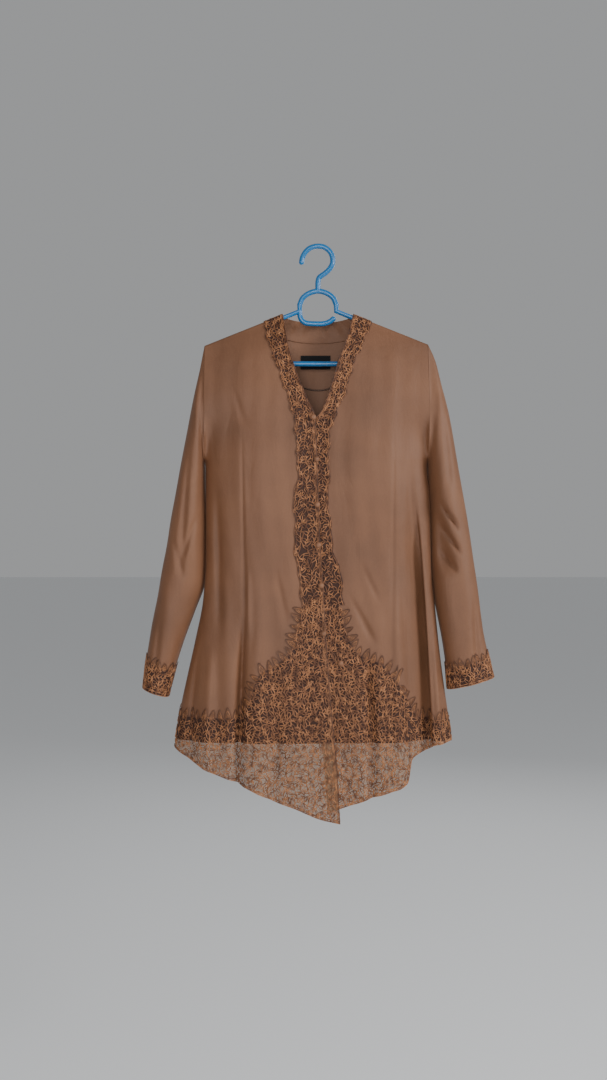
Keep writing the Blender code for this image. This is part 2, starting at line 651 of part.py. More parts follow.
# Hem lace of the fronts: leafy upper edge on the cloth, pierced sheer part below it.
for side in (RIGHT, LEFT):
    levels, shares, points, normals = FRONTS[side]
    lines = []
    for number, share in enumerate(shares):
        line_points, line_normals = points[:, number], normals[:, number]
        x_here = line_points[18, 0]
        top_z = float(along(LACE_TOP[side], "z", x_here))
        top_level = 1 + (UNDERARM_Z - top_z) / (UNDERARM_Z - HEM_Z)
        room = HEM_Z - float(along(LOWER[side], "z", share))
        steps = max(1, round(room / 16))
        lower = [2 + float(step) / steps for step in range(1, steps + 1)]
        keys = [top_level] + [level for level in LEVELS if level > top_level + 0.012] + lower
        line = []
        for key in keys:
            base, normal = read_line(levels, line_points, line_normals, key)
            order = key if key <= 2 else 2 + (key - 2) * steps
            line.append((order, base, normal))
        lines.append(line)
    indexed, cells, inner, outer = lay(lines)
    sheer_points = {point for line in indexed for key, point in line if key >= 2}
    pierced = {cell for cell in cells
               if len(cell) == 4 and all(point in sheer_points for point in cell)
               and min(np.linalg.norm(inner[cell[0]] - inner[cell[3]]),
                       np.linalg.norm(inner[cell[0]] - inner[cell[1]])) > 7}
    # A leaf stands on each upper cell, between its two columns.
    leaf_cells = []
    inner_list, outer_list = list(inner), list(outer)
    for number in range(1, len(indexed) - 1):
        one, other = indexed[number][0], indexed[number + 1][0]
        wide = np.linalg.norm(inner[one[1]] - inner[other[1]])
        key = min(one[0], other[0])
        if wide < 6 or wide > 40 or key < 1.56:
            continue
        tall = 19 / (UNDERARM_Z - HEM_Z)
        middle = []
        for column_at in (number, number + 1):
            middle.append(read_line(levels, points[:, column_at], normals[:, column_at],
                                    key - tall))
        base = (middle[0][0] + middle[1][0]) / 2
        normal = unit(middle[0][1] + middle[1][1])
        leaf_cells.append((other[1], one[1], len(inner_list)))
        inner_list.append(base + (CLOTH + LACE_GAP) * normal)
        outer_list.append(base + (CLOTH + LACE_GAP + LACE) * normal)
    wall("lace_hem_" + side, np.array(inner_list), np.array(outer_list),
         cells + leaf_cells, LACE_LOOK, pierced)

# Hem lace of the back: a leafy band that runs on to 7 mm below the cloth.
hem_levels = np.concatenate((LEVELS, [3.0]))
hem_points = back_face(hem_levels[:, None], PLACES[None])
hem_normals = np.concatenate((back_normals, back_normals[-1:]))
lines = []
for number in range(len(PLACES)):
    keys = [1.91] + [level for level in hem_levels if level > 1.93]
    lines.append([(key, *read_line(hem_levels, hem_points[:, number],
                                   hem_normals[:, number], key)) for key in keys])
indexed, cells, inner, outer = lay(lines)
inner_list, outer_list = list(inner), list(outer)
for number in range(len(PLACES) - 1):
    one, other = indexed[number][0][1], indexed[number + 1][0][1]
    middle = [read_line(hem_levels, hem_points[:, at], hem_normals[:, at], 1.868)
              for at in (number, number + 1)]
    base = (middle[0][0] + middle[1][0]) / 2
    normal = unit(middle[0][1] + middle[1][1])
    cells.append((other, one, len(inner_list)))
    inner_list.append(base + (CLOTH + LACE_GAP) * normal)
    outer_list.append(base + (CLOTH + LACE_GAP + LACE) * normal)
wall("lace_hem_back", np.array(inner_list), np.array(outer_list), cells, LACE_LOOK)

# Lace on the outside of the collar stand, end to end with the two bands.
lines = [[(row, COLLAR[row, at] + (COLLAR[1, at] - COLLAR[0, at]) * (0.3 if row == 0 else 0),
           collar_normals[row, at]) for row in range(len(COLLAR_ROWS))]
         for at in range(NECK_COUNT + 1)]
indexed, cells, inner, outer = lay(lines)
wall("lace_collar", inner, outer, cells, LACE_LOOK)

# Cuff lace, with a leaf between each pair of columns.
CUFF_TALL = 45.0
for side in (RIGHT, LEFT):
    points, normals = SLEEVES[side]
    lines = []
    leaves = []
    for at in range(points.shape[1]):
        line_points, line_normals = points[:, at], normals[:, at]
        last = np.linalg.norm(line_points[10] - line_points[9])
        start = max(9 - (CUFF_TALL - last) / 60, 10 - CUFF_TALL / last)
        keys = [start] + [ring for ring in (9, 10) if ring > start + 0.1]
        line = [(key, *read_line(np.arange(11), line_points, line_normals, key))
                for key in keys]
        lines.append(line)
        leaves.append(read_line(np.arange(11), line_points, line_normals, start - 0.32))
    lines.append(lines[0])
    leaves.append(leaves[0])
    indexed, cells, inner, outer = lay(lines)
    count = len(indexed[0])
    joined = {point[1]: first[1] for point, first in zip(indexed[-1], indexed[0])}
    cells = [tuple(joined.get(point, point) for point in cell) for cell in cells]
    inner_list, outer_list = list(inner), list(outer)
    for at in range(len(lines) - 1):
        one = indexed[at][0][1]
        other = joined.get(indexed[at + 1][0][1], indexed[at + 1][0][1])
        if np.linalg.norm(inner[one] - inner[other]) < 5:
            continue
        base = (leaves[at][0] + leaves[at + 1][0]) / 2
        normal = unit(leaves[at][1] + leaves[at + 1][1])
        cells.append((other, one, len(inner_list)))
        inner_list.append(base + (CLOTH + LACE_GAP) * normal)
        outer_list.append(base + (CLOTH + LACE_GAP + LACE) * normal)
    wall("lace_cuff_" + side, np.array(inner_list), np.array(outer_list), cells, LACE_LOOK)

# Back-neck facing, from the back's own points moved in, and the blank label on it.
FACING_IN = 0.5
facing_lines = []
for at in range(NECK.start + 3, NECK.stop - 3):
    x_here = BACK[4, at, 0]
    low_z = -252 + 46 * (x_here / 78) ** 2
    keys = [0.02] + [level for level in LEVELS
                     if level > 0.025 and BACK_POINTS[np.searchsorted(LEVELS, level), at, 2]
                     > low_z + 4]
    column_z = BACK_POINTS[:, at, 2]
    end = float(np.interp(-low_z, -column_z, LEVELS))
    facing_lines.append([(key, *read_line(LEVELS, BACK_POINTS[:, at], back_normals[:, at],
                                          key)) for key in keys + [end]])
inner, outer, indexed = [], [], []
for line in facing_lines:
    row = []
    for key, base, normal in line:
        row.append((key, len(inner)))
        inner.append(base - (FACING_IN + 1.0) * normal)
        outer.append(base - FACING_IN * normal)
    indexed.append(row)
facing = wall("facing_back_neck", np.array(inner), np.array(outer), strip_cells(indexed),
              CLOTH_LOOK)


def front_of(piece, places):
    """Depth at which a piece first meets rays sent back at places (x, z)."""
    mesh = piece.data
    tree = BVHTree.FromPolygons([corner.co for corner in mesh.vertices],
                                [face.vertices for face in mesh.polygons])
    hits = [tree.ray_cast(Vector((x, -200, z)) * MM, Vector((0, 1, 0)))[0]
            for x, z in places]
    return min(hit.y / MM for hit in hits if hit is not None)


def taken(source, name, look):
    """Turn a working object into a finished one with its modifiers and place applied."""
    bpy.context.view_layer.update()
    graph = bpy.context.evaluated_depsgraph_get()
    mesh = bpy.data.meshes.new_from_object(source.evaluated_get(graph))
    shape = bmesh.new()
    shape.from_mesh(mesh)
    bmesh.ops.transform(shape, matrix=source.matrix_world, verts=shape.verts)
    bmesh.ops.remove_doubles(shape, verts=shape.verts, dist=1e-6)
    bpy.data.objects.remove(source, do_unlink=True)
    return object_from(name, shape, look)


LABEL_X = (-31.0, 23.0)
LABEL_Z = (-218.0, -193.0)
LABEL_THICK = 0.8
label_places = [(x, z) for x in np.linspace(*LABEL_X, 13) for z in np.linspace(*LABEL_Z, 7)]
label_back = front_of(facing, label_places) - 0.3
bpy.ops.mesh.primitive_cube_add(size=1)
box = bpy.context.object
box.scale = ((LABEL_X[1] - LABEL_X[0]) * MM, LABEL_THICK * MM, (LABEL_Z[1] - LABEL_Z[0]) * MM)
box.location = (sum(LABEL_X) / 2 * MM, (label_back - LABEL_THICK / 2) * MM,
                sum(LABEL_Z) / 2 * MM)
taken(box, "label", LABEL_LOOK)

# Half section of a covered button: distance from its middle, then height.
BUTTON_PROFILE = ((0, 0), (4.6, 0), (5, 0.9), (4.2, 2.3), (2.4, 3.3), (0, 3.7))


def button(name, centre):
    """A covered dome button turned about its own axis, facing the front."""
    mesh = bpy.data.meshes.new(name + "_profile")
    corners = [(radius * MM, 0, height * MM) for radius, height in BUTTON_PROFILE]
    mesh.from_pydata(corners, [(at, at + 1) for at in range(len(corners) - 1)], [])
    turned = bpy.data.objects.new(name + "_profile", mesh)
    BLOUSE.objects.link(turned)
    screw = turned.modifiers.new("turn", "SCREW")
    screw.steps = 9
    screw.render_steps = 9
    screw.use_merge_vertices = True
    screw.merge_threshold = 1e-6
    turned.rotation_euler = (math.pi / 2, 0, 0)
    turned.location = [float(value) * MM for value in centre]
    return taken(turned, name, BUTTON_LOOK)


BUTTON_NAMES = ["button_" + str(number) for number in range(1, len(BUTTONS))] + ["button_7"]
BUTTON_PLACES = [(x, z) for z, x in BUTTONS[1:] + (LOW_BUTTON,)]
rim = [(4.8 * math.cos(math.pi * step / 4), 4.8 * math.sin(math.pi * step / 4))
       for step in range(8)] + [(0, 0)]
for name, (x, z) in zip(BUTTON_NAMES, BUTTON_PLACES):
    under = "lace_hem_left" if name == "button_7" else "lace_hem_right"
    lace = bpy.data.objects["lace_band_right" if z > -637 else under]
    seat = front_of(lace, [(x + across, z + up) for across, up in rim])
    button(name, (x, seat - 0.15, z))


def tube(name, points, radius, cyclic=False):
    """A round plastic rod along points, as a mesh object."""
    line = bpy.data.curves.new(name, "CURVE")
    line.dimensions = "3D"
    line.bevel_depth = radius * MM
    line.bevel_resolution = 2
    line.use_fill_caps = True
    spline = line.splines.new("POLY")
    spline.points.add(len(points) - 1)
    spline.use_cyclic_u = cyclic
    for point, (x, z) in zip(spline.points, points):
        point.co = (x * MM, 0, z * MM, 1)
    carrier = bpy.data.objects.new(name, line)
    BLOUSE.objects.link(carrier)
    bpy.context.view_layer.update()
    graph = bpy.context.evaluated_depsgraph_get()
    mesh = bpy.data.meshes.new_from_object(carrier.evaluated_get(graph))
    bpy.data.objects.remove(carrier, do_unlink=True)
    shape = bmesh.new()
    shape.from_mesh(mesh)
    bmesh.ops.remove_doubles(shape, verts=shape.verts, dist=1e-6)
    return object_from(name, shape, HANGER_LOOK)


def arm(sign):
    """One arm from its junction out, round the end and back along the bar."""
    points = [(sign * 33, -112.4)]
    for degrees in (68, 45, 20, -5, -30, -55, -90):
        turn = math.radians(degrees)
        points.append((sign * (170.8 + 19 * math.cos(turn)), -188 + 19 * math.sin(turn)))
    return points


LOOP = ((33, -101), (27, -88), (15, -79.5), (0, -76), (-15, -79.5), (-27, -88), (-33, -101))
HOOK = ((0, -78), (0, -60), (3, -51), (12, -44.5), (20, -37), (25.5, -28), (26.5, -18),
        (23, -7), (15, 1), (6, 4.4), (-5, 4.4), (-15, 1), (-23, -6.5), (-28, -16),
        (-29.5, -24))
LOWER_BAR = ((-33, -112), (-32, -122), (-27.5, -130), (-19, -134), (0, -135), (11, -134.4),
             (21, -131), (27.5, -126))
frame_line = arm(-1) + arm(1)[::-1] + list(LOOP)
hanger = tube("hanger", frame_line, TUBE, cyclic=True)
for number, line in enumerate((HOOK, LOWER_BAR)):
    piece = tube("hanger_piece", line, TUBE - 0.15 * (number + 1))
    join = hanger.modifiers.new("join", "BOOLEAN")
    join.operation = "UNION"
    join.solver = "EXACT"
    join.object = piece
    bpy.context.view_layer.update()
    graph = bpy.context.evaluated_depsgraph_get()
    joined_mesh = bpy.data.meshes.new_from_object(hanger.evaluated_get(graph))
    hanger.modifiers.clear()
    hanger.data = joined_mesh
    bpy.data.objects.remove(piece, do_unlink=True)
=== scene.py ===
import math

import bpy
import numpy as np
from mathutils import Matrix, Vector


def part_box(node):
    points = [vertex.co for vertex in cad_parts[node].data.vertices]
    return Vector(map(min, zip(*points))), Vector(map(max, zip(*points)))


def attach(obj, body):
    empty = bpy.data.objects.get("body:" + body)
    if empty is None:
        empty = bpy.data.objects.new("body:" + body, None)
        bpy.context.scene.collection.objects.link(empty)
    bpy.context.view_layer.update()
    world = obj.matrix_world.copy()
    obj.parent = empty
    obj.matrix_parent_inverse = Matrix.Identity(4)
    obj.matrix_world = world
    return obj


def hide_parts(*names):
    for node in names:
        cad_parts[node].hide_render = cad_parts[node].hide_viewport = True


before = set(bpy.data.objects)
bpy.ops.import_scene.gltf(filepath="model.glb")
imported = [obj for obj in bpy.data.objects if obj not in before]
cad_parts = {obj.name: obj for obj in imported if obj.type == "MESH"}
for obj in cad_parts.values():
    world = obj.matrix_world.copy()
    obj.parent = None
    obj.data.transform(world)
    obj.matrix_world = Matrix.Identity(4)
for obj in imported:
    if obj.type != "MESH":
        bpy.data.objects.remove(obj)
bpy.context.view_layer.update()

# The room: a pale floor well below the hem, a soft key light from the front right like
# daylight from a window, a weaker fill in front and the weakest light behind.
bpy.ops.object.select_all(action="DESELECT")
bpy.ops.mesh.primitive_plane_add(size=60, location=(0, 0, -1.62))
floor = bpy.context.object
floor.name = "pale_floor"
pale = bpy.data.materials.new("pale_floor")
pale.use_nodes = True
pale.node_tree.nodes["Principled BSDF"].inputs["Base Color"].default_value = (0.84, 0.85, 0.86, 1)
pale.node_tree.nodes["Principled BSDF"].inputs["Roughness"].default_value = 0.9
floor.data.materials.append(pale)

room = bpy.data.worlds.new("pale_room")
room.use_nodes = True
room.node_tree.nodes["Background"].inputs["Color"].default_value = (0.70, 0.71, 0.72, 1)
room.node_tree.nodes["Background"].inputs["Strength"].default_value = 0.48
bpy.context.scene.world = room
for name, place, turn, size, power in (
        ("window_key", (2.35, -1.35, 0.35), (72, 0, 60), 1.0, 61),
        ("front_fill", (-0.3, -2.6, -0.2), (83, 0, -6), 1.4, 37),
        ("rear_light", (0.6, 2.6, 0.7), (-66, 0, -13), 1.6, 16)):
    bpy.ops.object.light_add(type="AREA", location=place,
                             rotation=[math.radians(angle) for angle in turn])
    lamp = bpy.context.object
    lamp.name = name
    lamp.data.size = size
    lamp.data.energy = power

# The camera stands square to the blouse at phone distance, on the photograph's centre.
bpy.ops.object.camera_add(location=(-0.026, -1.95, -0.524), rotation=(math.pi / 2, 0, 0))
camera = bpy.context.object
camera.data.sensor_fit = "VERTICAL"
camera.data.angle = 2 * math.atan(0.972 / 1.95)
bpy.context.scene.camera = camera


# The two front panels are brown cotton sateen, cut to a straight hem and each shaped by
# one long dart. They hang from the shoulder seams, and the wearer's right front laps
# over the left. Sizes are in millimetres from the hook's seat.
MM = 0.001
SEAM = 0.15
OVER_ARM = 5.5
UNDERARM_Z = -381.0
HEM_Z = -878.0
NECK_HALF = 63.0
RIGHT, LEFT = "right", "left"
ARMHOLE_X = {RIGHT: -203.0, LEFT: 197.0}
FORWARD = np.array([0, -1, 0])

# Free edge of each front, from the shoulder down over the neck to the hem.
EDGE = {
    RIGHT: (("z", "x", "depth"),
            (-118.9, -63, 0.15), (-119.8, -62.8, 3.3), (-121.9, -62.4, 5.2),
            (-125.5, -61.6, 6.6), (-140, -59, 13), (-173, -54, 24), (-227, -38, 33),
            (-272, -20, 39), (-308, -5, 42), (-400, -1, 46), (-533, 4, 45),
            (-605, 9, 46), (-688, 13, 50), (-812, 22, 57), (-920, 32, 60),
            (-1019, 38, 61)),
    LEFT: (("z", "x", "depth"),
           (-118.9, 63, 0.15), (-119.8, 62.8, 3.3), (-121.9, 62.4, 5.2),
           (-125.5, 61.6, 6.6), (-140, 58, 13), (-173, 48, 23), (-203, 36, 28),
           (-234, 27, 31), (-293, 7, 36), (-312, -8, 37), (-335, -18, 38),
           (-400, -21, 41), (-533, -18, 40), (-605, -13, 41), (-688, -9, 45),
           (-812, 0, 52), (-920, 10, 55), (-1019, 17, 56)),
}

# Side seams below the underarm.
FLANK = {
    RIGHT: (("z", "x"),
            (-381, -203), (-392, -201.6), (-560, -201.5), (-600, -203.5), (-632, -206),
            (-704, -220), (-776, -236), (-833, -248), (-878, -255), (-900, -257)),
    LEFT: (("z", "x"),
           (-381, 197), (-392, 195.6), (-452, 201.5), (-560, 203), (-632, 209),
           (-704, 216), (-735, 219.6), (-790, 226.8), (-833, 233), (-878, 238.5),
           (-900, 240)),
}

# Depth of the armhole curve before and behind the shoulder line.
ARMHOLE = (("drop", "front", "back"),
           (0, 0.15, 0.15), (0.9, 3.3, 3.3), (3, 5.2, 5.2), (6, 6.3, 6.3),
           (20, 10, 9.5), (60, 20, 17), (110, 28, 23), (160, 29, 24), (190, 22, 18),
           (203, 11, 9), (209, 0.15, 0.15))

# Lower edge of the sheer lace, by how far it lies from the free edge to the side.
LOWER = {
    RIGHT: (("share", "z"),
            (0, -1019), (0.125, -1010), (0.24, -995), (0.41, -976), (0.6, -949),
            (0.8, -926), (1, -893)),
    LEFT: (("share", "z"),
           (0, -1001), (0.12, -992), (0.3, -979), (0.5, -964), (0.61, -952),
           (0.645, -908), (0.77, -893), (0.88, -885), (1, -881)),
}

# How far the middle of each front stands out beyond the line from edge to side.
CROWN = (("z", "front"), (-150, 0), (-300, 7), (-420, 9), (-600, 5), (-800, 4), (-1000, 4))

# Folds of the two fronts: a trough is positive, a ridge negative.
FOLD_COLUMNS = ("name", "x_top", "z_top", "x_low", "z_low", "left", "right",
                "depth", "shift", "held")
FOLDS = {
    RIGHT: (
        ("side trough", -180, -410, -172, -720, 9, 9, 6, 0, 0),
        ("dart seam", -135, -300, -128, -705, 4, 4, 2.2, 0, 0),
        ("dart flap", -124, -560, -122, -712, 5, 7, -3.5, 0, 0),
        ("deep fold under the dart", -130, -640, -139, -900, 10, 8, 15, 0, 1),
        ("ridge inside the dart", -104, -600, -108, -880, 16, 16, -4, 0, 1),
        ("hem flute near the side", -214, -700, -228, -885, 10, 10, 6, 0, 1),
        ("hem ridge", -188, -690, -196, -885, 12, 12, -4, 0, 1),
        ("waist crease", -78, -560, -52, -690, 8, 8, 3, 0, 0),
        ("bust crease", -150, -250, -128, -330, 8, 8, 2, 0, 0),
        ("lace flute", -66, -830, -86, -1000, 14, 14, 6, 0, 1),
    ),
    LEFT: (
        ("neck crease", 58, -200, 24, -320, 8, 8, 2.5, 0, 0),
        ("dart seam", 134, -310, 130, -700, 4, 4, 2.2, 0, 0),
        ("side trough", 163, -350, 165, -620, 11, 11, 6, 0, 0),
        ("deep pleat", 170, -430, 189, -900, 34, 9, 32, 17, 1),
        ("ridge beside the pleat", 136, -560, 140, -860, 9, 12, -5, 0, 1),
        ("waist crease", 49, -610, 104, -715, 7, 7, 4, 0, 0),
        ("upper waist crease", 74, -560, 110, -640, 7, 7, 3, 0, 0),
        ("lace trough", 88, -715, 94, -900, 10, 10, 9, 0, 1),
        ("outer ridge", 206, -600, 216, -880, 8, 9, -8, 0, 1),
    ),
}


def column(table, name):
    """One named column of a table as numbers."""
    place = table[0].index(name)
    return np.array([row[place] for row in table[1:]], float)


def along(table, name, at):
    """Read a column smoothly against the table's first column, without overshoot."""
    place = column(table, table[0][0])
    value = column(table, name)
    order = np.argsort(place)
    place, value = place[order], value[order]
    step = np.diff(place)
    rise = np.diff(value) / step
    slope = np.concatenate(([rise[0]], np.zeros(len(rise) - 1), [rise[-1]]))
    same = rise[:-1] * rise[1:] > 0
    total = np.where(same, rise[:-1] + rise[1:], 1)
    slope[1:-1] = np.where(same, 2 * rise[:-1] * rise[1:] / total, 0)
    at = np.clip(np.asarray(at, float), place[0], place[-1])
    part = np.clip(np.searchsorted(place, at, side="right") - 1, 0, len(step) - 1)
    width = step[part]
    share = (at - place[part]) / width
    back = 1 - share
    return (value[part] * (1 + 2 * share) * back ** 2
            + value[part + 1] * (1 + 2 * back) * share ** 2
            + width * share * back * (slope[part] * back - slope[part + 1] * share))


def ease(share):
    """Nought to one with level ends."""
    share = np.clip(share, 0, 1)
    return share * share * (3 - 2 * share)


def fold_push(rows, names, x, z):
    """Depth and sideways shift that the listed folds give at places on a panel."""
    depth = np.zeros(np.shape(x))
    shift = np.zeros(np.shape(x))
    for row in rows:
        fold = dict(zip(names, row))
        share = (fold["z_top"] - z) / (fold["z_top"] - fold["z_low"])
        inside = np.clip(share, 0, 1)
        middle = fold["x_top"] + (fold["x_low"] - fold["x_top"]) * inside
        spread = np.where(x < middle, fold["left"], fold["right"]) * (0.6 + 0.4 * inside)
        held = fold.get("held", 0)
        strength = ease(share / 0.45) * (1 - (1 - held) * ease((share - 0.7) / 0.3))
        across = strength * np.exp(-((x - middle) / spread) ** 2)
        depth += fold["depth"] * across
        shift += fold.get("shift", 0) * across
    return depth, shift


def shoulder_z(x):
    """Height of the cloth along the shoulder seams, over the hanger's arms."""
    return -112.0 - 0.40 * (abs(x) - 32.0) + OVER_ARM


def side_depth(face, drop, upper, share):
    """Depth that a panel takes from its armhole line, fading inwards near the underarm."""
    depth = along(ARMHOLE, face, np.clip(drop, 0, 209))
    faded = SEAM + (depth - SEAM) * (1 - ease((upper - 0.4) / 0.6))
    near_edge = share ** (8 + 40 * ease((upper - 0.55) / 0.4))
    return np.where(upper < 1, faded + (depth - faded) * near_edge, SEAM)


def body_round(upper, share):
    """How far out a panel stands from its side to its middle, squarer towards the chest."""
    squared = ease(upper) ** 2
    round_off = np.sqrt(np.clip(1 - share ** 4, 0, 1))
    return (1 - squared) * (1 - share ** 1.6) + squared * round_off


def front_face(side, level, share):
    """Inner face of a front panel.

    Level is 0 at the shoulder, 1 at the underarm, 2 at the cloth's hem and 3 at the
    lower edge of the lace. Share is 0 at the free edge and 1 at the side.
    """
    level, share = np.broadcast_arrays(np.asarray(level, float), np.asarray(share, float))
    upper = np.clip(level, 0, 1)
    body = np.clip(level - 1, 0, 1)
    skirt = np.clip(level - 2, 0, 1)
    tip = shoulder_z(ARMHOLE_X[side])
    neck = shoulder_z(NECK_HALF)
    z_in = neck + (UNDERARM_Z - neck) * upper + (HEM_Z - UNDERARM_Z) * body
    z_out = tip + (UNDERARM_Z - tip) * upper + (HEM_Z - UNDERARM_Z) * body
    z = z_in + (z_out - z_in) * share
    z = z + (along(LOWER[side], "z", share) - HEM_Z) * skirt
    z_edge = np.where(skirt > 0, z, z_in)
    drop = np.clip(tip - z_out, 0, 209)
    x_in = along(EDGE[side], "x", z_edge)
    x_out = np.where(level < 1, ARMHOLE_X[side],
                     along(FLANK[side], "x", np.where(skirt > 0, z, z_out)))
    x = x_in + (x_out - x_in) * share
    depth_in = along(EDGE[side], "depth", z_edge)
    depth_out = side_depth("front", drop, upper, share)
    depth = depth_out + (depth_in - depth_out) * body_round(upper, share)
    depth = depth + along(CROWN, "front", z) * np.sin(math.pi * share) ** 2
    trough, shift = fold_push(FOLDS[side], FOLD_COLUMNS, x, z)
    free = ease((1 - share) / 0.09) * ease((share - 0.1) / 0.12)
    depth = depth - trough * free
    x = x + shift * free
    return np.stack([x, -depth, z], -1)


def unit(vectors):
    """Vectors brought to length one."""
    return vectors / np.linalg.norm(vectors, axis=-1, keepdims=True)


def grid_normals(points, towards, ring=False):
    """Unit normals of a grid of points, on the side that towards points to."""
    down = np.gradient(points, axis=0)
    if ring:
        across = (np.roll(points, -1, 1) - np.roll(points, 1, 1)) / 2
    else:
        across = np.gradient(points, axis=1)
    normal = unit(np.cross(down, across))
    if np.sum(normal * towards) < 0:
        normal = -normal
    return normal


# Rows that every body panel shares: close over the hanger's arm, then wider.
LEVELS = np.concatenate(([0, 0.0044, 0.0146, 0.03, 0.08, 0.16, 0.27, 0.4, 0.54, 0.68, 0.8,
                          0.9, 0.96, 1], 1 + np.arange(1, 13) / 12))


def front_shares(count):
    """Columns of a front, closer together towards the side seam."""
    even = np.linspace(0, 1, count + 1)
    return 0.5 * even + 0.5 * np.sin(even * math.pi / 2)


def finer(values, parts):
    """The same run of values with more steps between each pair."""
    places = np.arange(len(values))
    return np.interp(np.linspace(0, len(values) - 1, (len(values) - 1) * parts + 1),
                     places, values)


def soft_waves(points, normals, fade):
    """Small uneven waves that hanging cloth has between its larger folds."""
    x, z = points[..., 0], points[..., 2]
    low = np.clip((-z - 150) / 700, 0, 1)
    wave = (0.55 * np.sin(x / 8.5 + 1.7 * np.sin(z / 140)) * (0.35 + low)
            + 0.4 * np.sin(x / 5.3 + z / 70 + 2 * np.sin(z / 90))
            + 0.45 * np.sin((x + 0.5 * z) / 21 + np.sin(x / 33)))
    return points + normals * (wave * fade)[..., None]


def hung_front(side, level, share):
    """Part of a front panel with the small waves of hanging cloth, and its normals."""
    level, share = np.broadcast_arrays(level, share)
    points = front_face(side, level, share)
    normals = grid_normals(points, FORWARD)
    fade = ease((1 - share) / 0.1) * ease(share / 0.15) * ease(level / 0.3)
    return soft_waves(points, normals, fade), normals


def cloth_sheet(name, points, towards, thickness, look, ring=False):
    """A grid shaped into one cloth piece, closed round if a tube, and given a wall."""
    if ring:
        points = np.concatenate((points, points[:, :1]), axis=1)
    rows, columns = points.shape[:2]
    down = np.gradient(points, axis=0)
    across = np.gradient(points, axis=1)
    if np.sum(np.cross(across, down) * towards) < 0:
        points = points[::-1]
    bpy.ops.object.select_all(action="DESELECT")
    bpy.ops.mesh.primitive_grid_add(x_subdivisions=columns - 1, y_subdivisions=rows - 1,
                                    size=2)
    piece = bpy.context.object
    piece.name = name
    flat = np.empty(len(piece.data.vertices) * 3)
    piece.data.vertices.foreach_get("co", flat)
    flat = flat.reshape(-1, 3)
    column_at = np.rint((flat[:, 0] + 1) / 2 * (columns - 1)).astype(int)
    row_at = np.rint((flat[:, 1] + 1) / 2 * (rows - 1)).astype(int)
    piece.data.vertices.foreach_set("co", (points[row_at, column_at] * MM).ravel())
    if ring:
        bpy.ops.object.mode_set(mode="EDIT")
        bpy.ops.mesh.select_all(action="SELECT")
        bpy.ops.mesh.remove_doubles(threshold=1e-6)
        bpy.ops.object.mode_set(mode="OBJECT")
    bpy.ops.object.shade_smooth()
    if thickness:
        solid = piece.modifiers.new("wall", "SOLIDIFY")
        solid.thickness = thickness * MM
        solid.offset = 1
        bpy.ops.object.modifier_apply(modifier="wall")
        bpy.ops.object.shade_smooth_by_angle(angle=math.radians(50))
    piece.data.materials.clear()
    piece.data.materials.append(look)
    return piece


def node(tree, kind, settings=(), inputs=(), **links):
    """Add a shader node, set its own values, and link named inputs to outputs."""
    made = tree.nodes.new(kind)
    for name, value in settings:
        setattr(made, name, value)
    for name, value in inputs:
        made.inputs[name].default_value = value
    for name, source in links.items():
        tree.links.new(source, made.inputs[name.replace("_", " ")])
    return made


def ramp(tree, source, stops):
    """Colour ramp over a value, with its stops as (place, colour)."""
    made = tree.nodes.new("ShaderNodeValToRGB")
    tree.links.new(source, made.inputs["Fac"])
    while len(made.color_ramp.elements) < len(stops):
        made.color_ramp.elements.new(0.5)
    for element, (place, colour) in zip(made.color_ramp.elements, stops):
        element.position = place
        element.color = (*colour, 1)
    return made.outputs["Color"]


def new_look(name):
    """A new material with its node tree, its shader and places on the piece."""
    look = bpy.data.materials.new(name)
    look.use_nodes = True
    tree = look.node_tree
    shader = tree.nodes["Principled BSDF"]
    return look, tree, shader, tree.nodes.new("ShaderNodeTexCoord").outputs["Object"]


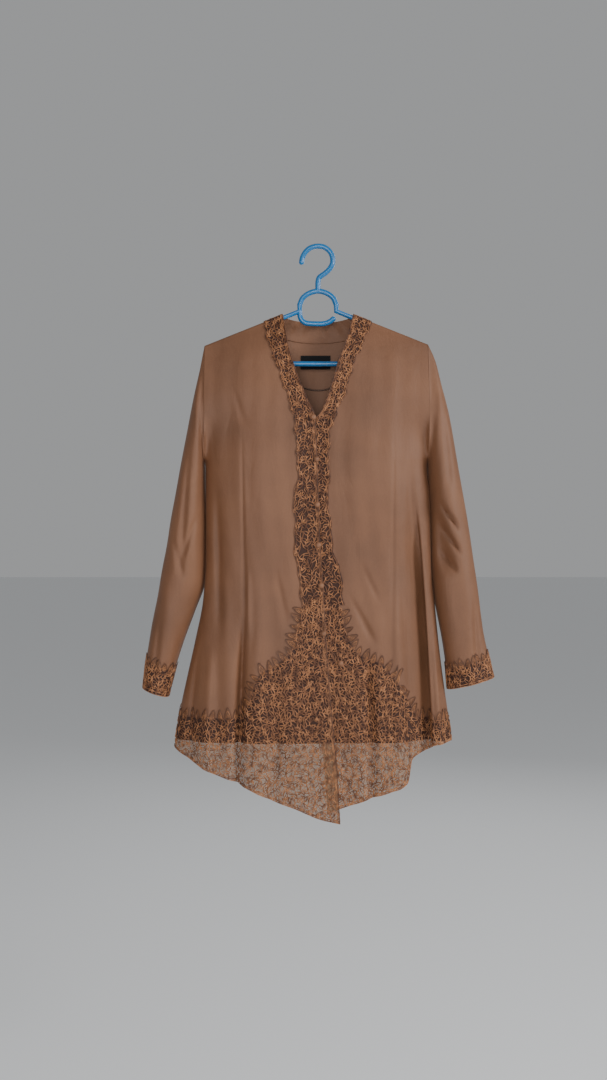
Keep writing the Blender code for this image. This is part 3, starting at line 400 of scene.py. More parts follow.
def sateen(name, dark, mid, light, sheen):
    """Woven cotton sateen: fine warp ribs, soft uneven colour and pressed-in creases."""
    look, tree, shader, place = new_look(name)
    broad = node(tree, "ShaderNodeTexNoise", inputs=(("Scale", 7.0), ("Detail", 4.0),
                                                     ("Roughness", 0.55)), Vector=place)
    fine = node(tree, "ShaderNodeTexNoise", inputs=(("Scale", 420.0), ("Detail", 2.0)),
                Vector=place)
    mix = node(tree, "ShaderNodeMath", (("operation", "MULTIPLY_ADD"),), inputs=((1, 0.22),))
    tree.links.new(fine.outputs["Fac"], mix.inputs[0])
    tree.links.new(broad.outputs["Fac"], mix.inputs[2])
    colour = ramp(tree, mix.outputs[0], ((0.42, dark), (0.6, mid), (0.82, light)))
    tree.links.new(colour, shader.inputs["Base Color"])
    shader.inputs["Roughness"].default_value = 0.62
    shader.inputs["Sheen Weight"].default_value = sheen
    shader.inputs["Sheen Roughness"].default_value = 0.45
    shader.inputs["Sheen Tint"].default_value = (0.95, 0.78, 0.66, 1)
    warp = node(tree, "ShaderNodeTexWave", (("bands_direction", "X"),),
                inputs=(("Scale", 520.0), ("Distortion", 1.2), ("Detail", 1.0)), Vector=place)
    weft = node(tree, "ShaderNodeTexWave", (("bands_direction", "Z"),),
                inputs=(("Scale", 420.0), ("Distortion", 1.2), ("Detail", 1.0)), Vector=place)
    weave = node(tree, "ShaderNodeMath", (("operation", "ADD"),))
    tree.links.new(warp.outputs["Fac"], weave.inputs[0])
    tree.links.new(weft.outputs["Fac"], weave.inputs[1])
    stretch = node(tree, "ShaderNodeMapping", inputs=(("Scale", (1.0, 1.0, 0.35)),),
                   Vector=place)
    crease = node(tree, "ShaderNodeTexNoise", inputs=(("Scale", 34.0), ("Detail", 3.0),
                                                      ("Distortion", 0.6)),
                  Vector=stretch.outputs["Vector"])
    crease_bump = node(tree, "ShaderNodeBump", inputs=(("Strength", 0.45),
                                                       ("Distance", 0.0035)),
                       Height=crease.outputs["Fac"])
    weave_bump = node(tree, "ShaderNodeBump", inputs=(("Strength", 0.25),
                                                      ("Distance", 0.00012)),
                      Height=weave.outputs[0], Normal=crease_bump.outputs["Normal"])
    tree.links.new(weave_bump.outputs["Normal"], shader.inputs["Normal"])
    return look


BROWN = sateen("brown_sateen", (0.136, 0.056, 0.024), (0.164, 0.068, 0.030),
               (0.192, 0.082, 0.037), 0.04)
CLOTH_WALL = 0.7
FRONT_COUNT = {RIGHT: 18, LEFT: 17}
CLOTH_ROWS = finer(LEVELS, 7)
for side in (RIGHT, LEFT):
    shares = finer(front_shares(FRONT_COUNT[side]), 7)
    points, _ = hung_front(side, CLOTH_ROWS[:, None], shares[None])
    piece = cloth_sheet("front_panel_" + side, points, FORWARD, CLOTH_WALL, BROWN)
    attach(piece, "root")
    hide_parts("front_" + side)


# The back is one panel of the same sateen with two darts, and the stand collar is a
# narrow strip sewn into its neck line. They share one seam line round the neck.
COLLAR_HALF = 98.0
BACK_LACE_DROP = 8.0
UP_AND_BACK = np.array([0, 1, 0.3])

# Depth of the back down its middle, by height below the hook's seat.
BACK_MIDDLE = (("down", "depth"),
               (166, 26.5), (300, 29), (420, 31), (600, 27), (760, 32), (890, 40))

# Folds of the back, in the same columns as the fronts' folds.
BACK_FOLDS = (
    ("left of the spine", -48, -300, -40, -720, 12, 12, 5, 0, 0),
    ("right of the spine", 52, -330, 44, -720, 12, 12, 5, 0, 0),
    ("right dart", 120, -330, 116, -690, 4, 4, 2.2, 0, 0),
    ("left dart", -124, -330, -120, -690, 4, 4, 2.2, 0, 0),
    ("right flute", 118, -660, 128, -900, 14, 14, 14, 0, 1),
    ("left flute", -122, -660, -134, -900, 14, 14, 14, 0, 1),
    ("middle flute", 2, -700, 6, -900, 16, 16, 9, 0, 1),
    ("right side flute", 178, -640, 190, -900, 12, 12, 7, 0, 1),
    ("left side flute", -182, -640, -200, -900, 12, 12, 7, 0, 1),
    ("shoulder crease", -150, -230, -110, -330, 9, 9, 3, 0, 0),
)


def over_arm(drop):
    """How deep the cloth rolls over the hanger's arm, by how far it has dropped."""
    return np.sqrt(np.clip(OVER_ARM ** 2 - np.clip(OVER_ARM - drop, 0, None) ** 2, 0, None))


def neck_line(share):
    """Neck seam of the back, from one shoulder (share 0) round to the other (share 1)."""
    turn = math.pi * np.asarray(share, float)
    rise = np.sin(turn)
    drop = 33.1 * rise
    y = SEAM + over_arm(drop) + 20.5 * rise ** 2
    return np.stack([-COLLAR_HALF * np.cos(turn), y, shoulder_z(COLLAR_HALF) - drop], -1)


def collar_top(share):
    """Upper edge of the back collar stand."""
    turn = math.pi * np.asarray(share, float)
    rise = np.sin(turn)
    drop = 11.1 * rise
    y = SEAM + over_arm(drop) + 15 * rise ** 3
    return np.stack([-NECK_HALF * np.cos(turn), y, shoulder_z(NECK_HALF) - drop], -1)


def back_top(place):
    """Top line of the back: place runs 0..1 on one shoulder, 1..2 neck, 2..3 other."""
    place = np.asarray(place, float)
    first = ARMHOLE_X[RIGHT] + (-COLLAR_HALF - ARMHOLE_X[RIGHT]) * np.clip(place, 0, 1)
    last = COLLAR_HALF + (ARMHOLE_X[LEFT] - COLLAR_HALF) * np.clip(place - 2, 0, 1)
    x = np.where(place < 1, first, last)
    line = np.stack([x, np.full(x.shape, SEAM), shoulder_z(x)], -1)
    neck = neck_line(np.clip(place - 1, 0, 1))
    return np.where(((place >= 1) & (place <= 2))[..., None], neck, line)


def back_face(level, place):
    """Inner face of the back: level as on a front, place as in back_top."""
    level, place = np.broadcast_arrays(np.asarray(level, float), np.asarray(place, float))
    upper = np.clip(level, 0, 1)
    body = np.clip(level - 1, 0, 1)
    skirt = np.clip(level - 2, 0, 1)
    start = back_top(place)
    z_flat = UNDERARM_Z + (HEM_Z - UNDERARM_Z) * body - BACK_LACE_DROP * skirt
    z = np.where(level < 1, start[..., 2] + (UNDERARM_Z - start[..., 2]) * upper, z_flat)
    from_side = (start[..., 0] - ARMHOLE_X[RIGHT]) / (ARMHOLE_X[LEFT] - ARMHOLE_X[RIGHT])
    one = np.where(level < 1, ARMHOLE_X[RIGHT], along(FLANK[RIGHT], "x", z))
    other = np.where(level < 1, ARMHOLE_X[LEFT], along(FLANK[LEFT], "x", z))
    x = one + (other - one) * from_side
    share = abs(2 * from_side - 1)
    tip = np.where(from_side < 0.5, shoulder_z(ARMHOLE_X[RIGHT]), shoulder_z(ARMHOLE_X[LEFT]))
    drop = (tip - UNDERARM_Z) * upper
    depth_out = side_depth("back", drop, upper, share)
    middle = np.interp(-z, column(BACK_MIDDLE, "down"), column(BACK_MIDDLE, "depth"))
    near = np.clip(start[..., 1] / OVER_ARM, 0, 1)
    hang = start[..., 1] + over_arm(drop) * (1 - near)
    full = depth_out + (middle - depth_out) * body_round(upper, share)
    blend = ease(upper / 0.45)
    depth = np.where(level < 1, hang + (full - hang) * blend, full)
    depth = np.where(share > 0.9999, depth_out, depth)
    trough, _ = fold_push(BACK_FOLDS, FOLD_COLUMNS, x, z)
    depth = depth - trough * ease((1 - share) / 0.12)
    return np.stack([x, depth, z], -1)


def hung_back(level, place):
    """Part of the back with the small waves of hanging cloth, and its normals."""
    level, place = np.broadcast_arrays(level, place)
    points = back_face(level, place)
    normals = grid_normals(points, UP_AND_BACK)
    fade = ease(np.minimum(place, 3 - place) / 0.35) * ease(level / 0.3)
    return soft_waves(points, normals, fade), normals


def cord_piece(name, lines, radius, look, closed=True, roundness=0):
    """One mesh of cords or rods along lines of points."""
    curve = bpy.data.curves.new(name, "CURVE")
    curve.dimensions = "3D"
    curve.bevel_depth = radius * MM
    curve.bevel_resolution = roundness
    curve.use_fill_caps = True
    for line in lines:
        spline = curve.splines.new("POLY")
        spline.points.add(len(line) - 1)
        spline.use_cyclic_u = closed
        flat = np.ones((len(line), 4))
        flat[:, :3] = np.asarray(line) * MM
        spline.points.foreach_set("co", flat.ravel())
    piece = bpy.data.objects.new(name, curve)
    bpy.context.scene.collection.objects.link(piece)
    bpy.ops.object.select_all(action="DESELECT")
    piece.select_set(True)
    bpy.context.view_layer.objects.active = piece
    bpy.ops.object.convert(target="MESH")
    piece = bpy.context.object
    bpy.ops.object.shade_smooth()
    piece.data.materials.clear()
    piece.data.materials.append(look)
    return piece


# Columns of the back, closer together at the ends of the neck seam and at the sides.
NECK_HALF_ROUND = (0, 0.012, 0.04, 0.09, 0.17, 0.27, 0.38, 0.5)
coarse = np.array(NECK_HALF_ROUND + tuple(1 - share for share in NECK_HALF_ROUND[-2::-1]))
around = finer(coarse, 7)
SHOULDER_COUNT = 6
shoulder = finer(front_shares(SHOULDER_COUNT), 7)
PLACES = np.concatenate(((1 - shoulder[::-1])[:-1], 1 + around, 2 + shoulder[1:]))
NECK = slice(len(shoulder) - 1, len(shoulder) - 1 + len(around))
BACK, _ = hung_back(CLOTH_ROWS[:, None], PLACES[None])

# The stand collar, rounded a little backwards and softly tucked.
COLLAR_ROWS = np.linspace(0, 1, 25)
low_edge, high_edge = neck_line(around), collar_top(around)
COLLAR = np.stack([low_edge + (high_edge - low_edge) * row for row in COLLAR_ROWS])
COLLAR[..., 1] += 2.5 * np.sin(math.pi * COLLAR_ROWS)[:, None] * np.sin(math.pi * around) ** 3
tucks = 0.9 * np.sin(around * 61) * np.sin(math.pi * around) ** 2
COLLAR[..., 1] += tucks[None] * np.sin(math.pi * COLLAR_ROWS)[:, None]
BACK[0, NECK] += 0.35 * unit(COLLAR[0] - COLLAR[4])

# A narrow welt of the sateen closes each side seam from inside.
seams = []
for place, inward in ((0.0, 1.6), (3.0, -1.6)):
    seam = back_face(np.linspace(1.02, 2.6, 90), np.full(90, place))
    seams.append(seam + np.array([inward, -SEAM, 0]))
side_welts = cord_piece("side_seam_welts", seams, 1.5, BROWN, closed=False)
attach(side_welts, "root")
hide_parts("back")

for name, points, node_name, cut, sewn_on in (
        ("back_panel", BACK, "back", (0.52, 0.76, 0.3218), [side_welts]),
        ("collar_stand", COLLAR, "collar", (0.24, 0.05, 0.0071), [])):
    piece = cloth_sheet(name, points, UP_AND_BACK, CLOTH_WALL, BROWN)
    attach(piece, "root")
    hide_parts(node_name)


# The sleeves are set-in tubes of the same sateen, eased at the shoulder and creased at
# the elbow, hanging just clear of the body with their cuffs open.
SLEEVE_ANGLES = (0, 8, 16, 28, 44, 62, 82, 102, 122, 142, 160, 172, 180)

# Sections from the armhole to the cuff: where the outer fold and the underarm line lie,
# and half the thickness before and behind.
SLEEVE = {
    RIGHT: (("ring", "x", "z", "under_x", "under_z", "front", "back"),
            (0, -203.3, -174.9, -203.3, -381, 29, 24),
            (1, -211, -213, -208.5, -396, 33, 29),
            (2, -221, -260, -208, -430, 37, 33),
            (3, -234, -328, -207, -468, 40, 36),
            (4, -247, -398, -206, -510, 42, 38),
            (5, -259, -466, -206, -552, 42, 38),
            (6, -273, -542, -208, -600, 40, 37),
            (7, -286, -616, -222, -650, 38, 35),
            (8, -300, -690, -244, -712, 36, 34),
            (9, -308, -738, -258, -757, 35, 33),
            (10, -313, -788, -270, -804, 34, 32)),
    LEFT: (("ring", "x", "z", "under_x", "under_z", "front", "back"),
           (0, 197.3, -172.5, 197.3, -381, 29, 24),
           (1, 212, -205, 201.5, -397, 32, 30),
           (2, 223, -250, 203, -430, 35, 34),
           (3, 238, -314, 205.5, -468, 37, 37),
           (4, 252, -394, 207, -512, 38, 39),
           (5, 264, -468, 208, -556, 37, 39),
           (6, 276, -548, 210.5, -608, 35, 38),
           (7, 287, -612, 217, -662, 33, 36),
           (8, 298, -692, 226, -716, 31, 34),
           (9, 306, -732, 231, -754, 30, 32),
           (10, 314, -770, 234, -791, 28, 31)),
}

# Creases of the sleeves, as folds with a last value of -1 in front and 1 behind.
CREASE_COLUMNS = FOLD_COLUMNS[:8]
CREASES = {
    RIGHT: (
        ("long front crease", -226, -330, -246, -620, 8, 8, 5, -1),
        ("inner elbow crease", -214, -470, -240, -560, 6, 6, 4, -1),
        ("outer elbow crease", -262, -500, -236, -600, 6, 6, 3, -1),
        ("back crease", -228, -350, -252, -640, 9, 9, 5, 1),
        ("cuff crease", -278, -650, -292, -780, 7, 7, 3, -1),
    ),
    LEFT: (
        ("hollow inside the elbow", 212, -440, 230, -600, 13, 17, 15, -1),
        ("upper elbow crease", 212, -450, 252, -512, 6, 5, 8, -1),
        ("middle elbow crease", 214, -490, 256, -552, 6, 4, 9, -1),
        ("lower elbow crease", 216, -535, 250, -585, 6, 4, 7, -1),
        ("long front crease", 222, -290, 234, -450, 8, 8, 4, -1),
        ("cuff crease", 276, -620, 284, -770, 8, 8, 5, -1),
        ("back crease", 226, -350, 254, -640, 9, 9, 5, 1),
    ),
}


def sleeve_face(side, ring, angle):
    """Inner face of a sleeve: ring as in its table, angle 0 at the outer fold."""
    ring, angle = np.broadcast_arrays(np.asarray(ring, float), np.asarray(angle, float))
    table = SLEEVE[side]
    top = np.stack([along(table, "x", ring), along(table, "z", ring)], -1)
    under = np.stack([along(table, "under_x", ring), along(table, "under_z", ring)], -1)
    swing = (1 - np.cos(angle)) / 2
    flat = top + (under - top) * swing[..., None]
    ahead = np.sin(angle) > 0
    height = column(table, "z")[0] - UNDERARM_Z
    drop = np.clip(height * swing, 0, 209)
    start = np.where(ahead, along(ARMHOLE, "front", drop), along(ARMHOLE, "back", drop))
    start = start * np.clip(abs(np.sin(angle)) / 0.02, 0, 1)
    wide = np.where(ahead, along(table, "front", ring), along(table, "back", ring))
    oval = wide * abs(np.sin(angle)) ** 0.9
    blend = ease(ring / 2)
    depth = start + (oval - start) * blend
    y = np.where(ahead, -depth, depth)
    for row in CREASES[side]:
        face = row[-1]
        push, _ = fold_push((row[:-1],), CREASE_COLUMNS, flat[..., 0], flat[..., 1])
        facing = np.clip(y * face / 12, 0, 1)
        y = y - face * push * facing
    return np.stack([flat[..., 0], y, flat[..., 1]], -1)


def hung_sleeve(side, ring, angle, whole=False):
    """Part of a sleeve with the small waves of hanging cloth, and its normals."""
    ring, angle = np.broadcast_arrays(ring, angle)
    points = sleeve_face(side, ring, angle)
    # The underarm fold is tucked in behind the body, so that no light shows between.
    inner = ((1 - np.cos(angle)) / 2) ** 6 * ease(ring / 1.1) * ease((7.6 - ring) / 2.5)
    towards_body = {RIGHT: 5.0, LEFT: -5.0}[side]
    points = points + inner[..., None] * np.array([towards_body, 16.0, 0])
    normals = grid_normals(points, points - points.mean(axis=1, keepdims=True), ring=whole)
    fade = ease(abs(angle - np.pi) / 0.9) * ease(ring / 1.5)
    return soft_waves(points, normals, fade), normals


half_turn = finer(np.radians(SLEEVE_ANGLES), 6)
angles = np.concatenate((half_turn, 2 * math.pi - half_turn[-2:0:-1]))
rings = np.linspace(0, 10, 111)
for side in (RIGHT, LEFT):
    points, _ = hung_sleeve(side, rings[:, None], angles[None], whole=True)
    outward = points - points.mean(axis=1, keepdims=True)
    piece = cloth_sheet("sleeve_tube_" + side, points,
                        np.concatenate((outward, outward[:, :1]), axis=1), CLOTH_WALL, BROWN,
                        ring=True)
    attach(piece, "root")
    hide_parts("sleeve_" + side)


# The cord lace is sprigs of thick tan cord couched on fine brown net. On the cloth it is
# sewn flat; below the cloth's hem it hangs free and light shows through.
LACE_BASE = CLOTH_WALL + 0.6


def cord_look(name, dark, light):
    """Twisted cord: colour that shifts from loop to loop, with a fine twist."""
    look, tree, shader, place = new_look(name)
    patch = node(tree, "ShaderNodeTexNoise", inputs=(("Scale", 110.0), ("Detail", 2.0)),
                 Vector=place)
    colour = ramp(tree, patch.outputs["Fac"], ((0.36, dark), (0.64, light)))
    tree.links.new(colour, shader.inputs["Base Color"])
    shader.inputs["Roughness"].default_value = 0.5
    twist = node(tree, "ShaderNodeTexWave", (("bands_direction", "DIAGONAL"),),
                 inputs=(("Scale", 300.0), ("Distortion", 1.0)), Vector=place)
    bump = node(tree, "ShaderNodeBump", inputs=(("Strength", 0.4), ("Distance", 0.0002)),
                Height=twist.outputs["Fac"])
    tree.links.new(bump.outputs["Normal"], shader.inputs["Normal"])
    return look


def net_look(name, laid, hanging):
    """Fine net: close threads in painted shade where it lies on cloth, open ones where it hangs.
    """
    look, tree, shader, place = new_look(name)
    split = node(tree, "ShaderNodeSeparateXYZ", Vector=place)
    free = node(tree, "ShaderNodeMath", (("operation", "LESS_THAN"),),
                inputs=((1, HEM_Z * MM - 0.001),))
    tree.links.new(split.outputs["Z"], free.inputs[0])
    # On the cloth the threads are closer and darker, painted shade between the cords; where the
    # net hangs free they are open.
    cover = node(tree, "ShaderNodeMapRange", inputs=(("To Min", 0.55), ("To Max", 0.27)),
                 Value=free.outputs[0])
    flat = node(tree, "ShaderNodeCombineXYZ", X=split.outputs["X"], Y=split.outputs["Z"])
    cells = node(tree, "ShaderNodeTexVoronoi", (("feature", "DISTANCE_TO_EDGE"),
                                                ("voronoi_dimensions", "2D")),
                 inputs=(("Scale", 520.0), ("Randomness", 0.35)),
                 Vector=flat.outputs["Vector"])
    thread = node(tree, "ShaderNodeMath", (("operation", "LESS_THAN"),))
    tree.links.new(cells.outputs["Distance"], thread.inputs[0])
    tree.links.new(cover.outputs[0], thread.inputs[1])
    tree.links.new(thread.outputs[0], shader.inputs["Alpha"])
    tree.links.new(ramp(tree, free.outputs[0], ((0.2, laid), (0.8, hanging))),
                   shader.inputs["Base Color"])
    shader.inputs["Roughness"].default_value = 0.8
    return look


def on_grid(points, normals, row, across, lift):
    """Places at fractional rows and columns of a grid, lifted off it."""
    rows, columns = points.shape[:2]
    row = np.clip(row, 0, rows - 1)
    across = np.clip(across, 0, columns - 1)
    row_low = np.clip(np.floor(row).astype(int), 0, rows - 2)
    column_low = np.clip(np.floor(across).astype(int), 0, columns - 2)
    down = (row - row_low)[..., None]
    over = (across - column_low)[..., None]
    found = []
    for grid in (points, normals):
        top = grid[row_low, column_low] * (1 - over) + grid[row_low, column_low + 1] * over
        low = (grid[row_low + 1, column_low] * (1 - over)
               + grid[row_low + 1, column_low + 1] * over)
        found.append(top * (1 - down) + low * down)
    return found[0] + found[1] * np.asarray(lift)[..., None]


def outline(kind, steps):
    """A closed unit outline, one long: a leaf, a petal from its base, or a round."""
    turns = np.linspace(0, 2 * math.pi, steps, endpoint=False)
    if kind == "round":
        return 0.5 * np.cos(turns), 0.5 * np.sin(turns)
    if kind == "petal":
        return 0.5 * np.cos(turns) + 0.28, 0.5 * np.sin(turns) * (0.8 - 0.4 * np.cos(turns))
    return 0.5 * np.cos(turns), 0.5 * np.sin(turns) * (0.82 - 0.34 * np.cos(turns))


def drawn(points, normals, spots, length, width, turn, lift, kind="leaf", steps=9):
    """Closed outlines round spots on a grid, true to size, turned from straight down."""
    rows, columns = points.shape[:2]
    row, column_at = spots[:, 0], spots[:, 1]
    near = np.clip(row.astype(int), 0, rows - 2), np.clip(column_at.astype(int), 0, columns - 2)
    down = points[near[0] + 1, near[1]] - points[near]
    over = points[near[0], near[1] + 1] - points[near]
    down_size = np.maximum(np.linalg.norm(down, axis=1), 0.2)
    ahead = down / down_size[:, None]
    slip = np.sum(over * ahead, axis=1)
    across_size = np.maximum(np.linalg.norm(over - slip[:, None] * ahead, axis=1), 0.2)
    unit_long, unit_wide = outline(kind, steps)
    long_way = length[:, None] * unit_long[None]
    wide_way = width[:, None] * unit_wide[None]
    cos, sin = np.cos(turn)[:, None], np.sin(turn)[:, None]
    across = wide_way * cos + long_way * sin
    along_down = long_way * cos - wide_way * sin
    column_step = across / across_size[:, None]
    row_step = (along_down - column_step * slip[:, None]) / down_size[:, None]
    return on_grid(points, normals, row[:, None] + row_step, column_at[:, None] + column_step,
                   np.full(row_step.shape, lift))


def run_along(line):
    """Distance along a line of points, at each of them."""
    return np.concatenate(([0], np.cumsum(np.linalg.norm(np.diff(line, axis=0), axis=1))))


def steps_down(points, column_at, pitch):
    """Fractional rows a pitch apart down one column of a grid."""
    run = run_along(points[:, int(np.clip(round(column_at), 0, points.shape[1] - 1))])
    return np.interp(np.arange(1.0, run[-1], pitch), run, np.arange(len(run)))


def sprigs(points, chance, pitch):
    """Meandering stems with leaves to both sides and round buds, in grid places."""
    columns = points.shape[1]
    wide = np.linalg.norm(np.diff(points, axis=1), axis=2).mean()
    stems = max(1, round(wide * (columns - 1) / pitch))
    spots, turns, lines, buds = [], [], [], []
    for number in range(stems):
        middle = (number + 0.5) / stems * (columns - 1)
        phase = chance.uniform(0, 6)
        down = steps_down(points, middle, 2.1)
        count = np.arange(len(down))
        sway = (2.4 * np.sin(count * 0.36 + phase) + 1.1 * np.sin(count * 0.93 + 2 * phase)) / wide
        lines.append((down, middle + sway))
        for order, at in enumerate(range(chance.integers(0, 3), len(down), 3)):
            side = -1 if order % 2 else 1
            off = side * chance.uniform(3.0, 5.0) / wide
            spots.append((down[at], middle + sway[at] + off))
            turns.append(math.pi - side * chance.uniform(0.3, 1.25)
                         if chance.uniform() < 0.7 else chance.uniform(0, math.pi))
        buds += [(down[at], middle + sway[at] + chance.uniform(-5, 5) / wide)
                 for at in range(4, len(down), 13)]
    return np.array(spots), np.array(turns), lines, np.array(buds)


def joined(name, pieces):
    """Several meshes made one."""
    bpy.ops.object.select_all(action="DESELECT")
    for piece in pieces:
        piece.select_set(True)
    bpy.context.view_layer.objects.active = pieces[0]
    bpy.ops.object.join()
    pieces[0].name = name
    return pieces[0]


def edge_lines(points, normals, offsets, lift, last=False):
    """Lines down a grid at distances in from its first or last column."""
    rows, columns = points.shape[:2]
    row = np.arange(rows, dtype=float)
    outer, inner = (-1, -2) if last else (0, 1)
    step = np.maximum(np.linalg.norm(points[:, outer] - points[:, inner], axis=1), 0.15)
    lines = []
    for offset in offsets:
        at = columns - 1 - offset / step if last else offset / step
        lines.append(on_grid(points, normals, row, at, np.full(rows, lift)))
    return lines


def edge_cords(name, points, normals, rows):
    """Couched cords and painted shadow lines along the first or last column of a lace piece."""
    cords = []
    for offsets, lift, radius, look, last in rows:
        lines = edge_lines(points, normals, offsets, LACE_BASE + lift, last)
        cords.append(cord_piece(name + "_edge", lines, radius, look, closed=False))
    return cords


def finish_lace(name, cords, net, cad_node):
    """Tie the cords and the net of one lace piece to its solid."""
    cords = joined(name + "_cords", cords)
    for piece in (cords, net):
        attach(piece, "root")
        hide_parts(cad_node)


def lace_field(name, points, normals, seed, keep=None, pitch=12.0):
    """The stems, leaves and buds that fill one lace piece."""
    chance = np.random.default_rng(seed)
    spots, turns, lines, buds = sprigs(points, chance, pitch)
    count = len(spots)
    length = chance.uniform(9.5, 14.5, count)
    width = chance.uniform(4.6, 6.8, count)
    if keep is not None:
        chosen = keep(spots)
        spots, turns, length, width = spots[chosen], turns[chosen], length[chosen], width[chosen]
        buds = buds[keep(buds)]
    pieces = [cord_piece(name + "_leaves", drawn(points, normals, spots, length, width, turns,
                                                 LACE_BASE + 0.5), 0.68, CORD)]
    stems = []
    for down, at in lines:
        if keep is not None:
            inside = keep(np.stack([down, at], -1))
            down, at = down[inside], at[inside]
        if len(down) > 3:
            stems.append(on_grid(points, normals, down, at,
                                 np.full(len(down), LACE_BASE + 0.8)))
    pieces.append(cord_piece(name + "_stems", stems, 0.72, CORD, closed=False))
    if len(buds):
        size = np.full(len(buds), 4.2)
        pieces.append(cord_piece(name + "_buds", drawn(points, normals, buds, size, size,
                                                       size * 0, LACE_BASE + 0.9, "round", 6),
                                 0.7, CORD))
    return pieces


CORD = cord_look("tan_cord", (0.120, 0.042, 0.016), (0.43, 0.185, 0.076))
# This dark cord colour is painted shadow: the shadow lines along raised lace edges and round the
# leaf tips.
SHADOW_CORD = cord_look("painted_shadow_cord", (0.060, 0.021, 0.010), (0.14, 0.054, 0.024))
# On the cloth the net's close, dark threads are painted shade between the cords.
NET_AND_SHADE = net_look("brown_net_and_painted_shade", (0.036, 0.011, 0.005), (0.22, 0.125, 0.070))


# The front hems: lace laid on the sateen below a stepped, leafy upper edge, running on
# below the cloth as a sheer border that is longest at the front edge.
HEM_TOP = -637.0
BAND_END = -646.0
HEM_ROWS = 170
HEM_COLUMNS = 120

# Upper edge of the hem lace on each front, by x.
LACE_TOP = {
    RIGHT: (("x", "z"), (-255, -838), (-141, -836), (-118, -812), (-104, -762),
            (-74, -742), (-50, -722), (-30, -652), (-26, -638.6), (40, -638.6)),
    LEFT: (("x", "z"), (0, -638.6), (43, -638.6), (60, -704), (78, -728), (112, -742),
           (136, -776), (148, -806), (160, -838), (239, -842)),
}


def petals(name, points, normals, spots, turn, size):
    """Leafy edge: pointed outlines in painted shadow, a lighter leaf and vein inside."""
    count = np.arange(len(spots))
    size = size * (1 + 0.16 * np.sin(count * 2.3))
    turn = turn + 0.22 * np.sin(count * 1.7)
    pieces = []
    for share, radius, look, lift in ((1.0, 0.6, SHADOW_CORD, 0.55), (0.7, 0.5, CORD, 0.75),
                                      (0.36, 0.45, CORD, 0.85)):
        lines = drawn(points, normals, spots, size * share, size * 0.55 * share, turn,
                      LACE_BASE + lift, "petal", 12)
        pieces.append(cord_piece(name + "_petals", lines, radius, look))
    return pieces


def spaced(line, pitch, begin=4.0):
    """Fractional places a pitch apart along a line of points."""
    run = run_along(line)
    return np.interp(np.arange(begin, run[-1] - 2, pitch), run, np.arange(len(run)))


def level_at(z, lower):
    """Level of a height on a panel whose lace ends at the height lower."""
    return np.where(z > HEM_Z, 1 + (UNDERARM_Z - z) / (UNDERARM_Z - HEM_Z),
                    2 + (HEM_Z - z) / (HEM_Z - lower))


LEAF_LEVEL = 1.75
shares = np.linspace(0, 1, HEM_COLUMNS)
columns = np.arange(HEM_COLUMNS)
run = np.linspace(0, 1, HEM_ROWS)[:, None]
last_row = HEM_ROWS - 1.0
for side in (RIGHT, LEFT):
    name = "hem_lace_" + side
    lower = along(LOWER[side], "z", shares)
    tall = HEM_TOP - lower
    field, field_normals = hung_front(side, level_at(HEM_TOP - tall * run, lower), shares[None])
    at_leaves = front_face(side, np.full(HEM_COLUMNS, LEAF_LEVEL), shares)
    top_z = along(LACE_TOP[side], "z", at_leaves[:, 0])
    top_rows = (HEM_TOP - top_z) / tall * last_row
    first_rows = top_rows + np.where(top_z > BAND_END, -2.0, 1.3)

    def in_lace(spots):
        """Which spots of the grid lie below the lace's upper edge."""
        return spots[:, 0] > np.interp(spots[:, 1], columns, first_rows)

    cords = lace_field(name, field, field_normals, 11 if side == RIGHT else 12, in_lace)
    top_line = on_grid(field, field_normals, top_rows, columns,
                       np.full(HEM_COLUMNS, LACE_BASE + 0.6))
    where = spaced(top_line, 15.0)
    where = where[np.interp(where, columns, top_z) < BAND_END]
    ahead = np.gradient(top_line, axis=0)
    ahead = np.stack([np.interp(where, columns, ahead[:, axis]) for axis in range(3)], -1)
    out_x, out_z = -ahead[:, 2], ahead[:, 0]
    flip = np.where(out_z < 0, -1, 1)
    forward = np.sign(field[60, -1, 0] - field[60, 0, 0])
    turn = np.arctan2(out_x * flip * forward, -out_z * flip - 0.25 * abs(out_x))
    spots = np.stack([np.interp(where, columns, top_rows), where], -1)
    cords += petals(name, field, field_normals, spots, turn, 21.0)
    # The dark cord along the leafy upper edge is painted shadow along that edge.
    leafy = top_line[top_z < BAND_END]
    cords.append(cord_piece(name + "_top_cord", [leafy], 0.6, SHADOW_CORD, closed=False))
    at = np.linspace(0, HEM_COLUMNS - 1, 300)
    borders = [on_grid(field, field_normals, np.full(300, row), at,
                       np.full(300, LACE_BASE + 0.5)) for row in (last_row, last_row - 1.8)]
    cords.append(cord_piece(name + "_border", borders, 0.8, CORD, closed=False))
    picots = spaced(field[-1], 5.6, 3)
    spots = np.stack([np.full(len(picots), last_row - 1), picots], -1)
    size = np.full(len(picots), 4.6)
    cords.append(cord_piece(name + "_picots", drawn(field, field_normals, spots, size, size,
                                                    size * 0, LACE_BASE + 0.6, "round", 7),
                            0.5, CORD))
    # The dark line nearest the front edge is painted shadow; the two lighter lines are cord.
    cords += edge_cords(name, field, field_normals, (((0.5,), 0.8, 0.9, SHADOW_CORD, False),
                                                     ((2.3, 4.7), 0.9, 0.6, CORD, False)))
    net_levels = level_at(top_z - (top_z - lower) * run, lower)
    net_points, net_normals = hung_front(side, net_levels, shares[None])
    net = cloth_sheet(name + "_net", net_points + net_normals * LACE_BASE, FORWARD, 0, NET_AND_SHADE)
    finish_lace(name, cords, net, "lace_hem_" + side)


